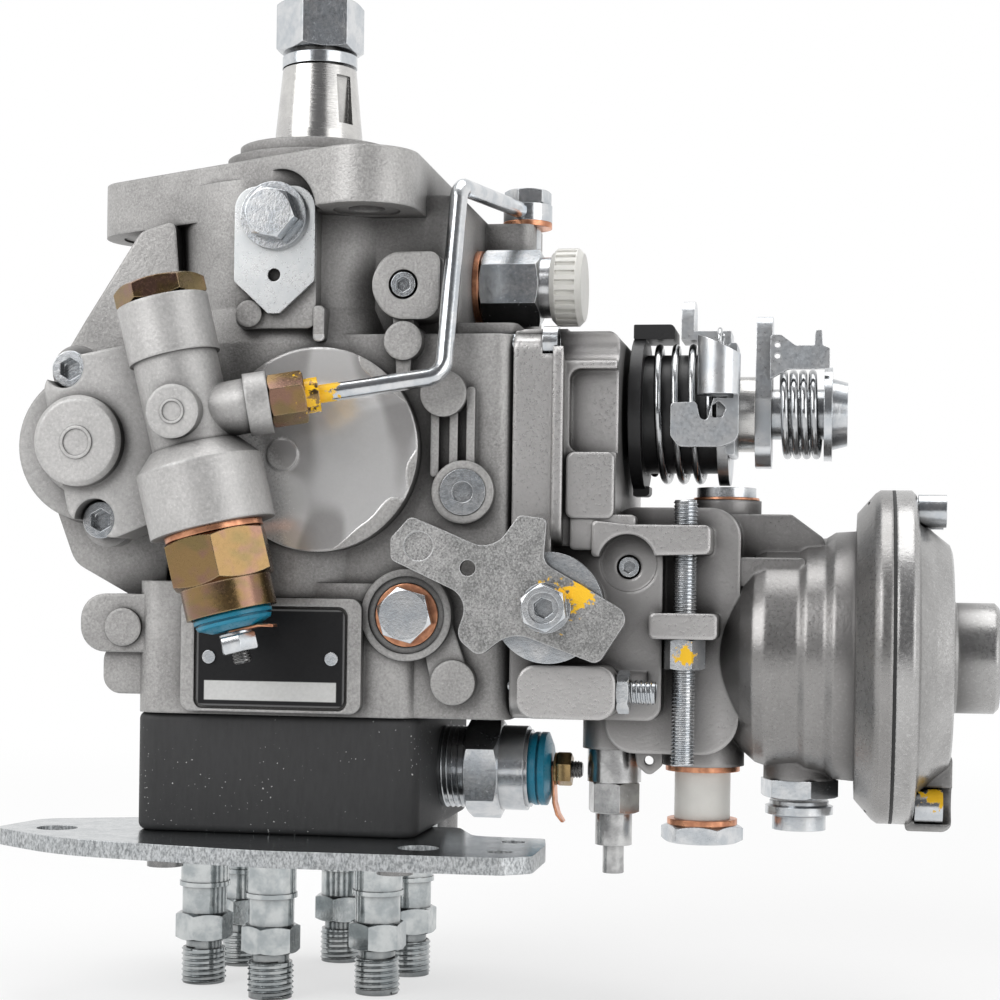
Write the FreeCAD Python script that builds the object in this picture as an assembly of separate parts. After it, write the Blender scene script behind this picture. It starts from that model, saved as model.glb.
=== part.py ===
"""Distributor type diesel injection pump, in millimetres.

The origin is the centre of the pilot at the mounting face of the flange. +Z runs along the drive shaft
towards its nut, +X points to the governor cover and -Y to the side with the name plate.
"""
import FreeCAD, Part
import math
import os

os.makedirs("parts", exist_ok=True)

Vec = FreeCAD.Vector
AXES = {"x": Vec(1, 0, 0), "y": Vec(0, 1, 0), "z": Vec(0, 0, 1)}

# Clearances
running_gap = 0.05
seat_gap = 0.02
face_gap = 0.1
moving_gap = 0.35
screw_gap = 0.3

# Springs
coil_steps = 20

# Drive shaft
journal_r = 12.5
taper_base = 14.5
taper_length = 18.8
taper_per_side = 0.1
thread_r = 7.0
thread_length = 18.5
key_width = 5.0
key_depth = 2.6
key_length = 14.0
key_turn = 54.0
nut_flats = 22.0
nut_height = 14.6
nut_lift = 4.9
lock_ring_r = 10.8
lock_ring_wire = 3.2
lock_ring_rise = 1.4

# Pilot and flange
pilot_r = 26.0
pilot_height = 6.1
nose_r = 22.5
nose_height = 9.8
bolt_circle_r = 49.0
lobe_r = 14.0
flange_thickness = 15.0
flange_hole_r = 5.0
seal_pocket_r = 19.0
seal_depth = 9.0
seal_recess = 1.2
bush_r = 15.5
bush_length = 18.0

# Housing barrel
barrel_top_r = 39.5
barrel_r = 42.5
barrel_shoulder = 46.0
cam_bore_r = 34.5
housing_length = 150.8
base_half_x = 39.5
base_half_y = 41.0
base_height = 36.0
base_corner_r = 7.0
front_rise = 2.6
front_face = base_half_y + front_rise

# Vane pump
pump_pocket = 33.0
ring_height = 14.0
ring_bore_r = 25.0
rotor_r = 21.4
rotor_offset = 3.3
vane_count = 4
vane_thickness = 3.0
pump_cover_height = 5.0

# Governor drive
gear_module = 1.5
drive_teeth = 43
governor_teeth = 27
gear_height = 10.0
gear_drop = 2.0
tooth_play = 0.12
cage_r = 17.4
cage_wall = 2.4
cage_height = 22.0
weight_count = 4
weight_width = 11.0
governor_pin_r = 4.5
sleeve_r = 7.5
sleeve_flange_r = 10.0
sleeve_length = 25.0
sleeve_travel = 2.6
sleeve_nose_r = 8.0

# Governor lever
lever_pivot_x = 34.0
lever_pivot_z = -114.0
lever_pivot_r = 3.0
lever_width = 12.0
lever_ball_r = 2.8
lever_ball_x = 10.4
lever_turn = 7.5

# Roller ring and cam plate
ring_r = 34.0
roller_ring_bore_r = 17.5
roller_ring_height = 14.0
roller_ring_mid = -78.5
roller_r = 5.6
roller_length = 10.0
roller_circle_r = 26.5
cam_lobes = 6
cam_lift = 2.8
cam_plate_r = 33.0
cam_plate_height = 6.0
claw_inner_r = 5.5
claw_outer_r = 12.5
claw_half_width = 4.0
coupling_disc_r = 16.0
coupling_disc_height = 6.0

# Plunger and control sleeve
plunger_r = 6.0
plunger_foot_r = 10.0
plunger_foot_height = 4.2
bridge_height = 3.0
plunger_spring_r = 7.2
plunger_spring_wire = 1.3
plunger_spring_offset = 24.0
control_sleeve_r = 12.0
control_sleeve_height = 10.0
control_sleeve_mid = -116.0

# Timing device
timing_x = -49.5
timing_z = -78.5
timing_r = 13.5
timing_wall = 8.0
timing_half_width = 42.0
piston_half_length = 18.0
timing_travel = 6.0
timing_ball_r = 4.6
timing_pin_r = 2.8

# Timing cover and cold start body
timing_cover_thickness = 10.0
timing_boss_r = 12.1
timing_boss_front = 62.0
timing_screw_reach = 20.8
timing_tilt = 12.8
cold_top = (-25.9, -61.0, -41.7)
cold_bottom = (-11.2, -61.0, -101.0)
cold_tube_r = 12.0
cold_collar_r = 16.6
cold_collar_height = 17.0
cold_boss_r = 7.0
cold_plug_flats = 21.0
cold_plug_height = 5.5
pipe_boss_r = 8.2
solenoid_flats = 25.5
solenoid_hex_height = 13.0
solenoid_can_r = 12.0
insulator_r = 9.8
terminal_flats = 9.0
tab_thickness = 0.9

# Bypass pipe
pipe_r = 2.4
pipe_bend_r = 5.5
pipe_route = ((3.6, -61.0, -67.8), (47.4, -50.0, -59.9), (48.2, -34.5, -7.2), (57.0, 13.0, -5.2))
eye_r = 7.2
eye_height = 5.0
eye_x = 58.4
eye_y = 20.2
union_block_top = -9.6
bolt_flats = 12.0
pipe_nut_flats = 12.0

# Inlet
inlet_z = -30.0
inlet_seat = 47.5
inlet_thread_r = 8.0
inlet_flats = 19.0
inlet_hex_length = 17.0
inlet_cap_r = 11.0
inlet_cap_length = 9.0
washer_height = 1.6

# Shaft lock
lock_z = -16.6
lock_screw_r = 3.0
lock_flats = 12.5
lock_collar_r = 9.0
lock_recess_r = 12.8
lock_plate_half = 11.1
lock_plate_thickness = 2.2
lock_plate_tip = -42.7
lock_plate_shoulder = -34.0

# Name plate
plate_half_x = 20.5
plate_low = -housing_length + 2.5
plate_high = plate_low + 26.3
plate_thickness = 0.8
frame_rise = 0.9
rivet_x = 17.0
rivet_r = 1.8

# Side plugs
access_x = 36.7
access_z = -housing_length + 27.7
access_r = 12.3
access_flats = 13.4
pressed_x = 51.4
pressed_z = -90.1
pressed_r = 6.8

# Distributor head
head_height = 32.4
head_edge_r = 2.0
head_spigot_height = 10.0
valve_circle_r = 30.0
valve_turn = 24.8
valve_count = 6
valve_r = 6.8
valve_flats = 14.2
valve_reach = 45.8
valve_thread_r = 6.0
head_screw_x = base_half_x - 7.0
head_screw_y = base_half_y - 8.5
head_screw_r = 3.0

# Stop solenoid
stop_solenoid_z = -housing_length - 15.8
stop_solenoid_seat = base_half_x
stop_solenoid_flats = 25.5
stop_plunger_r = 4.0
stop_plunger_travel = 1.5

# Rear bracket
bracket_thickness = 4.4
bracket_outline = ((-78.0, -44.0), (-73.0, -20.0), (-48.0, -9.0), (46.0, -9.0), (53.0, -27.0), (73.0, -28.0),
                   (75.2, -42.0), (75.2, -66.0), (68.0, -71.5), (3.5, -73.5), (-52.0, -63.0))
bracket_radii = (7.0, 9.0, 12.0, 3.0, 6.0, 2.0, 30.0, 4.0, 2.0, 90.0, 60.0)
bracket_holes = ((-61.0, -40.5, 5.6), (44.0, -57.0, 5.4), (65.8, -59.4, 3.2), (65.8, -37.6, 3.2))
bracket_window_r = 38.5

# Governor cover
joint_x = 64.0
cover_face = 91.5
cover_half_y = 37.0
cover_top = -46.0
cover_step = -98.0
cover_bottom = -housing_length + 0.3
bead_start = 74.7
bead_end = 77.5
cavity_half_y = 28.0
cavity_top = -53.0
cavity_bottom = cover_bottom + 9.5
cavity_end = 87.0
panel_start = 78.8
panel_low = -79.0
panel_high = -56.5
panel_depth = 4.5
shelf_low = -96.6
notch_low = -105.0
arch_r = 7.7
arch_x = 94.9
arch_z = -108.4
arch_floor = 29.7
arch_screw_r = 2.7
plug_boss_x = 119.0
plug_boss_top = -90.3

# Throttle group
throttle_z = -66.0
throttle_shaft_r = 5.0
spring_bush_r = 16.6
spring_bush_end = 117.0
spring_flange_r = 21.5
throttle_spring_r = 18.6
throttle_spring_wire = 1.1
throttle_spring_turns = 3.75
lever_disc_r = 20.0
lever_hub_r = 10.5
carrier_tube_r = 5.7
carrier_tube_x = 118.1
carrier_y = -27.0
outer_lever_x = 127.0
outer_lever_thickness = 4.4
torsion_spring_r = 11.4
torsion_spring_wire = 1.1
throttle_end = 152.2
end_washer_r = 13.0
end_cap_r = 9.6

# Stop lever
stop_x = 75.8
stop_z = -120.5
stop_plate_y = -49.0
stop_plate_thickness = 2.5
stop_shaft_r = 4.0
stop_boss_r = 13.0
stop_spring_r = 14.6
stop_nut_flats = 11.0
stop_nut_flange_r = 6.6
stop_outline = ((39.5, -97.0), (34.2, -102.8), (34.3, -108.4), (55.4, -118.1), (52.0, -128.5), (58.2, -133.6),
                (66.7, -126.7), (89.4, -135.0), (97.7, -122.0), (85.2, -114.7), (74.8, -108.9), (75.6, -97.4),
                (68.3, -96.5), (61.4, -106.1))

# Compensator axis
boost_z = -133.0

# Adjusting screws
screw_r = 2.95
speed_x = 110.0
speed_y = -30.0
speed_top = -91.4
speed_bottom = -162.1
speed_arm_top = -98.2
speed_arm_thickness = 7.6
speed_foot_top = -121.6
speed_foot_thickness = 6.8
stop_screw_z = cover_bottom + 8.1
stop_screw_y = -41.0
full_load_x = 88.5
full_load_seat = boost_z - 27.2

# Return bolt and boost nipple
return_x = 113.4
return_seat = boost_z - 31.2
return_washer_r = 10.4
return_sleeve_r = 7.8
return_sleeve_height = 13.4
return_flats = 20.0
nipple_x = 140.3
nipple_seat = boost_z - 34.4

# Boost compensator
boost_flange_r = 46.0
boost_joint = 164.6
boost_chamber_r = 30.0
boost_chamber_floor = 142.0
boost_spring_wire = 1.2
diaphragm_thickness = 0.8
boost_cover_flange = 5.6
boost_dome_end = 180.9
boost_boss_r = 15.2
boost_end = 193.8
boost_pin_r = 4.0
boost_travel = 4.0
boost_screw_y = 9.0
boost_screw_z = 40.0


def rod(radius, start, end):
    """Round bar from one point to another."""
    a = Vec(*start)
    line = Vec(*end) - a
    return Part.makeCylinder(radius, line.Length, a, line)


def tube(outer, inner, start, end):
    """Round sleeve from one point to another."""
    return rod(outer, start, end).cut(rod(inner, start, end))


def block(x, y, z):
    """Box between three pairs of limits."""
    corner = Vec(min(x), min(y), min(z))
    return Part.makeBox(abs(x[1] - x[0]), abs(y[1] - y[0]), abs(z[1] - z[0]), corner)


def lifted(a, b, plane, height):
    """Point of a flat drawing, set in space."""
    if plane == "xy":
        return Vec(a, b, height)
    if plane == "xz":
        return Vec(a, height, b)
    return Vec(height, a, b)


def rounded_wire(points, radius, plane, height):
    """Closed outline with every corner rounded."""
    corners = [lifted(a, b, plane, height) for a, b in points]
    count = len(corners)
    radii = radius if isinstance(radius, (list, tuple)) else [radius] * count
    arcs = []
    for i, here in enumerate(corners):
        back = (corners[i - 1] - here)
        ahead = (corners[(i + 1) % count] - here)
        half = back.getAngle(ahead) / 2
        reach = min(radii[i] / math.tan(half), 0.49 * back.Length, 0.49 * ahead.Length)
        size = reach * math.tan(half)
        middle = (back.normalize() + ahead.normalize()).normalize()
        centre = here + middle * (size / math.sin(half))
        first = here + back * reach
        last = here + ahead * reach
        arcs.append((first, centre - middle * size, last))
    edges = []
    for i, (first, top, last) in enumerate(arcs):
        edges.append(Part.Arc(first, top, last).toShape())
        following = arcs[(i + 1) % count][0]
        if last.distanceToPoint(following) > 1e-6:
            edges.append(Part.LineSegment(last, following).toShape())
    return Part.Wire(edges)


def plate(points, radius, plane, low, high):
    """Flat piece with a rounded outline, between two levels."""
    face = Part.Face(rounded_wire(points, radius, plane, low))
    return face.extrude(lifted(0, 0, plane, high) - lifted(0, 0, plane, low))


def rectangle(a, b):
    """Corners of a rectangle between two pairs of limits."""
    return ((a[0], b[0]), (a[1], b[0]), (a[1], b[1]), (a[0], b[1]))


def turned(profile, origin, axis):
    """Solid of revolution from (radius, height) pairs."""
    along = Vec(*axis).normalize()
    side = Vec(0, 1, 0) if abs(along.y) < 0.5 else Vec(1, 0, 0)
    side = along.cross(side).normalize()
    base = Vec(*origin)
    points = [base + along * h + side * r for r, h in profile]
    face = Part.Face(Part.makePolygon(points + [points[0]]))
    return face.revolve(base, along, 360)


def hexagon(flats, start, end, turn=0.0):
    """Six sided bar with its edges relieved at both ends."""
    a = Vec(*start)
    along = Vec(*end) - a
    length = along.Length
    along.normalize()
    side = Vec(0, 0, 1) if abs(along.z) < 0.5 else Vec(1, 0, 0)
    side = (side - along * side.dot(along)).normalize()
    across = along.cross(side)
    corner = flats / math.sqrt(3)
    ring = []
    for i in range(6):
        angle = math.radians(60 * i + turn)
        ring.append(a + side * (corner * math.cos(angle)) + across * (corner * math.sin(angle)))
    bar = Part.Face(Part.makePolygon(ring + [ring[0]])).extrude(along * length)
    relief = (corner - flats / 2) * 0.6
    full = corner + 0.1
    profile = ((0, 0), (full - relief * 2, 0), (full, relief), (full, length - relief),
               (full - relief * 2, length), (0, length))
    return bar.common(turned(profile, start, tuple(along)))


def fused(*shapes):
    """One solid from overlapping ones."""
    body = shapes[0]
    for shape in shapes[1:]:
        body = body.fuse(shape)
    return body.removeSplitter()


def without(body, *cuts):
    """Body with pieces taken out."""
    for cut in cuts:
        body = body.cut(cut)
    return body


def around(shape, count, centre=(0, 0, 0), axis=(0, 0, 1), start=0.0):
    """Copies of a shape about an axis."""
    copies = []
    for i in range(count):
        copy = shape.copy()
        copy.rotate(Vec(*centre), Vec(*axis), start + 360.0 * i / count)
        copies.append(copy)
    return copies


def coil(radius, wire, pitch, turns, start, axis, phase=0.0):
    """Helical spring whose axis leaves the start point, swept in short straight steps."""
    count = round(turns * coil_steps)
    points = []
    for i in range(count + 1):
        angle = 2 * math.pi * turns * i / count
        points.append(Vec(radius * math.cos(angle), radius * math.sin(angle), pitch * turns * i / count))
    section = Part.Wire(Part.makeCircle(wire, points[0], points[1] - points[0]))
    spring = Part.makePolygon(points).makePipeShell([section], True, True, 1)
    spring.rotate(Vec(0, 0, 0), Vec(0, 0, 1), phase)
    spring.Placement = FreeCAD.Placement(Vec(*start), FreeCAD.Rotation(Vec(0, 0, 1), Vec(*axis))).multiply(
        spring.Placement)
    return spring


def between(start, end, share):
    """Point on the line between two points."""
    return tuple(a + (b - a) * share for a, b in zip(start, end))


def beyond(start, end, distance):
    """Point past the end of a line, by a distance."""
    a, b = Vec(*start), Vec(*end)
    return tuple(b + (b - a).normalize() * distance)


def save(node, *solids):
    """Write one node."""
    shape = solids[0] if len(solids) == 1 else Part.makeCompound(list(solids))
    shape.exportStep("parts/%s.step" % node)


# Levels worked out from the sizes above, going down the shaft
pump_floor = -pump_pocket - ring_height
pump_cover_floor = pump_floor - pump_cover_height
gear_top = pump_cover_floor - gear_drop
gear_bottom = gear_top - gear_height
governor_x = gear_module * (drive_teeth + governor_teeth) / 2
cage_top = gear_bottom - face_gap
cage_bottom = cage_top - cage_height
ring_top = roller_ring_mid + roller_ring_height / 2
ring_bottom = roller_ring_mid - roller_ring_height / 2
roller_z = ring_bottom + 0.6
cam_peak = roller_z - roller_r - face_gap
cam_valley = cam_peak - cam_lift
cam_floor = cam_valley - cam_plate_height
foot_bottom = cam_floor - plunger_foot_height
bridge_top = foot_bottom - face_gap
bridge_bottom = bridge_top - bridge_height
claw_end = ring_top - 1.0
disc_top = gear_bottom - 3.0
disc_bottom = disc_top - coupling_disc_height
sleeve_top = cage_bottom + 4.5
sleeve_bottom = sleeve_top - sleeve_length
head_bottom = -housing_length - head_height
bracket_top = head_bottom
bracket_bottom = bracket_top - bracket_thickness
screws = []
washers = []
plugs = []
return_springs = []


def socket_screw(head_r, head_height, shank_r, seat, tip, name_list=screws):
    """Socket head screw from its seat to its tip."""
    top = beyond(tip, seat, head_height)
    head = rod(head_r, seat, top).cut(hexagon(head_r * 1.1, between(seat, top, 0.45), beyond(seat, top, 1.0)))
    name_list.append(head.fuse(rod(shank_r, seat, tip)).removeSplitter())


def flange_shape():
    """Three lobed flange plate."""
    reach = bolt_circle_r + 2 * lobe_r
    corners = []
    for turn in (180.0, 300.0, 60.0):
        angle = math.radians(turn)
        corners.append((reach * math.cos(angle), reach * math.sin(angle)))
    body = plate(corners, lobe_r, "xy", -flange_thickness, 0)
    hole = rod(flange_hole_r, (bolt_circle_r, 0, -flange_thickness - 1), (bolt_circle_r, 0, 1))
    face = rod(9.0, (bolt_circle_r, 0, -flange_thickness - 1), (bolt_circle_r, 0, -flange_thickness + 0.5))
    hole = hole.fuse(face)
    return body, around(hole, 3, start=60.0)


def barrel_shape():
    """Round middle of the housing and its square foot."""
    profile = ((0, -5), (barrel_top_r, -5), (barrel_top_r, -40), (barrel_r, -barrel_shoulder - 4),
               (barrel_r, -housing_length + base_height - 4), (0, -housing_length + base_height - 4))
    foot = plate(rectangle((-base_half_x, base_half_x), (-base_half_y, base_half_y)), base_corner_r, "xy",
                 -housing_length, -housing_length + base_height)
    return fused(turned(profile, (0, 0, 0), (0, 0, 1)), foot)


def timing_block():
    """Cross cylinder of the timing device with the webs that carry it."""
    cylinder = rod(timing_r + timing_wall, (timing_x, -timing_half_width, timing_z),
                   (timing_x, timing_half_width, timing_z))
    web = plate(((-34, -14), (-44, -17), (-60, -42), (-68.5, -56), (-69.5, -90), (-62, -110), (-36, -124),
                 (-30, -60)), (2, 5, 6, 6, 8, 8, 3, 2), "xz", -27, 27)
    foot = -housing_length
    ledge = plate(rectangle((-55.5, -30), (foot + 16.3, foot + 32.3)), 7, "xz", -base_half_y + 2, 12)
    step = plate(rectangle((-49.5, -30), (foot + 4.8, foot + 18.8)), 5, "xz", -base_half_y + 4, 6)
    return fused(cylinder, web, ledge, step)


def governor_box():
    """Side of the housing that the governor cover closes, with the inlet shoulder."""
    box = plate(rectangle((8, joint_x), (-38, 38)), (1, 5, 5, 1), "xy", -housing_length, cover_top - 1.5)
    shoulder = plate(rectangle((10, inlet_seat), (-31, 31)), (1, 6, 6, 1), "xy", -60, -9)
    back_block = plate(rectangle((30, 61.5), (11, 33)), 4, "xy", -50, union_block_top)
    lip = plate(rectangle((joint_x - 17, joint_x), (-33, 33)), (1, 3, 3, 1), "xy", -49, cover_top + 2)
    return fused(box, shoulder, back_block, lip)


def front_details():
    """Pads, bosses and ribs cast on the near side."""
    lock_pad = plate(rectangle((-11, 11), (-46.5, -10)), 2.5, "xz", -front_face, -34)
    nub = rod(3.6, (-7.2, -front_face - 1.4, -42.6), (-7.2, -36, -42.6))
    foot = -housing_length
    plate_pad = plate(rectangle((-25, 25), (foot + 1, foot + 31.8)), 3, "xz", -front_face - frame_rise, -36)
    plate_bed = plate(rectangle((-plate_half_x - 0.8, plate_half_x + 0.8), (plate_low - 0.8, plate_high + 0.8)), 2.6,
                      "xz", -front_face - frame_rise - 1, -front_face)
    plate_pad = plate_pad.cut(plate_bed)
    round_pad = rod(27.5, (12, -front_face, -79), (12, -34, -79))
    disc = rod(4.3, (2.5, -front_face - 0.5, -80.5), (2.5, -40, -80.5))
    screw_pad = plate(rectangle((26.8, 44.6), (-44, -26.0)), (8, 5, 3, 7), "xz", -front_face + 1.6, -28)
    rim = plate(rectangle((10.5, 13.5), (-50, -40.5)), 1.2, "xz", -front_face - 0.4, -36)
    bosses = [lock_pad, nub, plate_pad, round_pad, disc, screw_pad, rim]
    for x, z, r, depth in ((34.6, -34.7, 8.5, 1.6), (34.8, -49.8, 5.2, 1.2), (46.0, -63.9, 6.2, 1.0),
                           (49.5, foot + 9.9, 6.0, 1.6), (access_x, access_z, access_r, 1.1),
                           (pressed_x, pressed_z, pressed_r + 1.6, 2.1), (-43.1, foot + 23.2, 5.2, 3.6),
                           (41.0, -104.8, 5.5, 3.1)):
        bosses.append(rod(r, (x, -front_face + depth, z), (x, -28, z)))
    for x in (43.5, 48.6, 53.2):
        bosses.append(plate(rectangle((x - 1.1, x + 1.1), (-86, -62)), 0.9, "xz", -front_face + 3.0, -36))
    bosses.append(plate(((31, -34), (38, -34), (36.5, -60), (33, -60)), 1, "xz", -front_face + 2.6, -34))
    bosses.append(plate(((37, -112), (45, -114), (54, foot + 10.8), (44, foot + 6.8)), 2, "xz", -front_face + 3.1,
                        -34))
    return bosses


def pump_housing():
    """Main casting."""
    flange, holes = flange_shape()
    pilot = rod(pilot_r, (0, 0, -2), (0, 0, pilot_height))
    nose = rod(nose_r, (0, 0, 0), (0, 0, nose_height))
    body = fused(barrel_shape(), flange, pilot, nose, timing_block(), governor_box(), *front_details())
    seal_floor = nose_height - seal_recess - seal_depth
    cuts = [rod(seal_pocket_r, (0, 0, seal_floor), (0, 0, nose_height + 1)),
            rod(journal_r + 1.0, (0, 0, -pump_pocket - 1), (0, 0, 5)),
            rod(bush_r, (0, 0, seal_floor - 2 - bush_length), (0, 0, seal_floor + 1)),
            rod(cam_bore_r, (0, 0, -housing_length - 1), (0, 0, -pump_pocket)),
            rod(timing_r + running_gap, (timing_x, -60, timing_z), (timing_x, 60, timing_z)),
            rod(governor_pin_r + seat_gap, (governor_x, 0, cavity_top - 1), (governor_x, 0, -48)),
            rod(inlet_thread_r + seat_gap, (inlet_seat - 12, 0, inlet_z), (inlet_seat + 1, 0, inlet_z)),
            rod(8.7, (access_x, -60, access_z), (access_x, -front_face + 3.4, access_z)),
            rod(10.4, (access_x, -60, access_z), (access_x, -front_face + 2.0, access_z)),
            rod(5.0 + seat_gap, (access_x, -60, access_z), (access_x, -31, access_z)),
            rod(pressed_r - 0.6, (pressed_x, -60, pressed_z), (pressed_x, -front_face + 3.3, pressed_z)),
            rod(lock_screw_r + seat_gap, (0, -60, lock_z), (0, -24, lock_z)),
            block((6, joint_x + 1), (-cavity_half_y, cavity_half_y), (cavity_bottom, cavity_top)),
            rod(lever_pivot_r + seat_gap, (lever_pivot_x, -34, lever_pivot_z), (lever_pivot_x, 34, lever_pivot_z)),
            block((timing_x - 2, -30), (-timing_travel - timing_ball_r - 1, timing_travel + timing_ball_r + 1),
                  (timing_z - timing_ball_r - 1, timing_z + timing_ball_r + 1)),
            rod(4.0 + seat_gap, (eye_x, eye_y, union_block_top - 9), (eye_x, eye_y, union_block_top + 1)),
            rod(lock_recess_r, (0, -80, lock_z), (0, -front_face, lock_z))]
    cuts += holes
    for y, z in cover_screw_places():
        cuts.append(rod(2.6, (joint_x - 12, y, z), (joint_x + 1, y, z)))
    for place in head_screw_places():
        cuts.append(rod(head_screw_r + seat_gap, place + (-housing_length + 13,), place + (-housing_length - 1,)))
    for x, z in timing_screw_places():
        cuts.append(rod(2.52, (x, -60, z), (x, -30, z)))
        cuts.append(rod(2.52, (x, 60, z), (x, 30, z)))
    cuts.append(rod(2.0 + seat_gap, (34.6, -60, -34.7), (34.6, -33, -34.7)))
    cuts.append(rod(4.0, (34.6, -60, -34.7), (34.6, -front_face + 4.1, -34.7)))
    for x in (-rivet_x, rivet_x):
        z = (plate_low + plate_high) / 2
        cuts.append(rod(rivet_r * 0.6 + seat_gap, (x, -60, z), (x, -front_face + 3, z)))
    save("pump_housing", without(body, *cuts).removeSplitter())


def cover_screw_places():
    """Centres of the governor cover's screws, seen along X."""
    places = []
    for side in (-1, 1):
        for z in (cover_bottom + 9.0, cover_top - 3.5):
            places.append((side * (cover_half_y - 4.0), z))
    return places


def head_screw_places():
    """Centres of the head's screws, seen along Z."""
    return [(x * head_screw_x, y * head_screw_y) for x in (-1, 1) for y in (-1, 1)]


def timing_screw_places():
    """Centres of the two cover screws, seen along Y."""
    tilt = math.radians(timing_tilt)
    dx = -timing_screw_reach * math.sin(tilt)
    dz = timing_screw_reach * math.cos(tilt)
    return ((timing_x + dx, timing_z + dz), (timing_x - dx, timing_z - dz))


def timing_cover():
    """Near timing cover with the cold start valve body cast on."""
    back = -timing_half_width - face_gap
    front = back - timing_cover_thickness
    disc = rod(timing_r + timing_wall - 1, (timing_x, back, timing_z), (timing_x, front + 3, timing_z))
    boss = turned(((0, 0), (timing_boss_r + 2.5, 0), (timing_boss_r, 4), (timing_boss_r, 9.2),
                   (timing_boss_r - 1.2, 10.4), (0, 10.4)), (timing_x + 0.6, -timing_boss_front + 10.4, timing_z + 0.5),
                  (0, -1, 0))
    ring = tube(4.4, 3.6, (timing_x + 0.6, -timing_boss_front + 1, timing_z),
                (timing_x + 0.6, -timing_boss_front - 0.3, timing_z))
    ears = []
    for x, z in timing_screw_places():
        ears.append(rod(7.0, (x, back, z), (x, front + 4, z)))
    bridge = plate(((-60, -62), (-50, -55), (-25, -50), (-18, -95), (-40, -104), (-52, -98)), 5, "xz", back,
                   front - 6)
    upper = rod(cold_tube_r, cold_top, between(cold_top, cold_bottom, 0.25))
    middle = rod(cold_tube_r - 0.9, between(cold_top, cold_bottom, 0.2), between(cold_top, cold_bottom, 0.9))
    collar_top = between(cold_bottom, cold_top, cold_collar_height / 61.1)
    collar = rod(cold_collar_r, cold_bottom, collar_top)
    funnel_top = between(cold_bottom, cold_top, (cold_collar_height + 5) / 61.1)
    along = Vec(*funnel_top) - Vec(*collar_top)
    funnel = Part.makeCone(cold_collar_r, cold_tube_r, along.Length, Vec(*collar_top), along)
    centre = between(cold_top, cold_bottom, 0.5)
    face_boss = rod(cold_boss_r, (centre[0], centre[1] - cold_tube_r - 1.2, centre[2]),
                    (centre[0], centre[1], centre[2]))
    mark = tube(3.2, 2.6, (centre[0], centre[1] - cold_tube_r, centre[2]),
                (centre[0], centre[1] - cold_tube_r - 1.5, centre[2]))
    pipe_seat = pipe_route[0]
    start = Vec(*pipe_seat)
    back_along = (start - Vec(*pipe_route[1])).normalize()
    arm = rod(pipe_boss_r - 1.0, (centre[0], centre[1], pipe_seat[2] - 4), tuple(start + back_along * 4))
    pad = rod(pipe_boss_r, tuple(start + back_along * 6), tuple(start))
    body = fused(disc, boss, ring, *ears, bridge, upper, middle, collar, funnel, face_boss, mark, arm, pad)
    cuts = [rod(timing_r - 4, (timing_x, back - 6, timing_z), (timing_x, back + 1, timing_z)),
            rod(7.02, cold_top, between(cold_top, cold_bottom, 0.15)),
            rod(9.52, cold_bottom, between(cold_bottom, cold_top, 0.2)),
            rod(pipe_r + 0.4, tuple(start + back_along * 14), tuple(start - back_along))]
    for x, z in timing_screw_places():
        cuts.append(rod(5.6, (x, -90, z), (x, front + 4, z)))
        cuts.append(rod(2.52 + screw_gap, (x, -70, z), (x, -30, z)))
    save("timing_cover", without(body, *cuts).removeSplitter())
    for x, z in timing_screw_places():
        socket_screw(4.9, 5.4, 2.5, (x, front + 4, z), (x, -31, z))


def timing_end_cover():
    """Far timing cover with the stop for the spring."""
    face = timing_half_width + face_gap
    disc = rod(timing_r + timing_wall - 1, (timing_x, face, timing_z), (timing_x, face + 5, timing_z))
    dome = turned(((0, 0), (timing_boss_r + 1, 0), (timing_boss_r, 6), (timing_boss_r - 2, 8), (0, 8)),
                  (timing_x, face + 4, timing_z), (0, 1, 0))
    ears = []
    for x, z in timing_screw_places():
        ears.append(rod(6.6, (x, face, z), (x, face + 5, z)))
    body = fused(disc, dome, *ears)
    cuts = []
    for x, z in timing_screw_places():
        cuts.append(rod(2.52 + screw_gap, (x, 30, z), (x, 60, z)))
        socket_screw(4.9, 5.4, 2.5, (x, face + 5, z), (x, 31, z))
    save("timing_end_cover", without(body, *cuts))


def cold_start_parts():
    """Top plug, solenoid and terminal of the cold start valve."""
    step = Vec(*cold_bottom) - Vec(*cold_top)
    down = step.normalize()
    top = Vec(*cold_top)
    plug_hex = hexagon(cold_plug_flats, cold_top, tuple(top - down * cold_plug_height), 12)
    plug = fused(plug_hex, rod(7.0, cold_top, tuple(top + down * 8)))
    seat = Vec(*cold_bottom)
    washers.append(tube(cold_collar_r - 3.6, 9.6, tuple(seat), tuple(seat + down * washer_height)))
    start = seat + down * washer_height
    hex_end = start + down * solenoid_hex_height
    can_end = hex_end + down * 8.0
    body = fused(hexagon(solenoid_flats, tuple(start), tuple(hex_end), 18),
                 rod(solenoid_can_r, tuple(hex_end), tuple(can_end)),
                 rod(9.5, tuple(seat - down * 7), tuple(start)))
    save("cold_start_solenoid", body)
    blue_end = can_end + down * 4.4
    blue = turned(((0, 0), (insulator_r, 0), (insulator_r + 0.6, 1), (insulator_r + 0.6, 2.6), (6.5, 4.4), (0, 4.4)),
                  tuple(can_end), tuple(down))
    return plug, blue, blue_end, down


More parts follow.
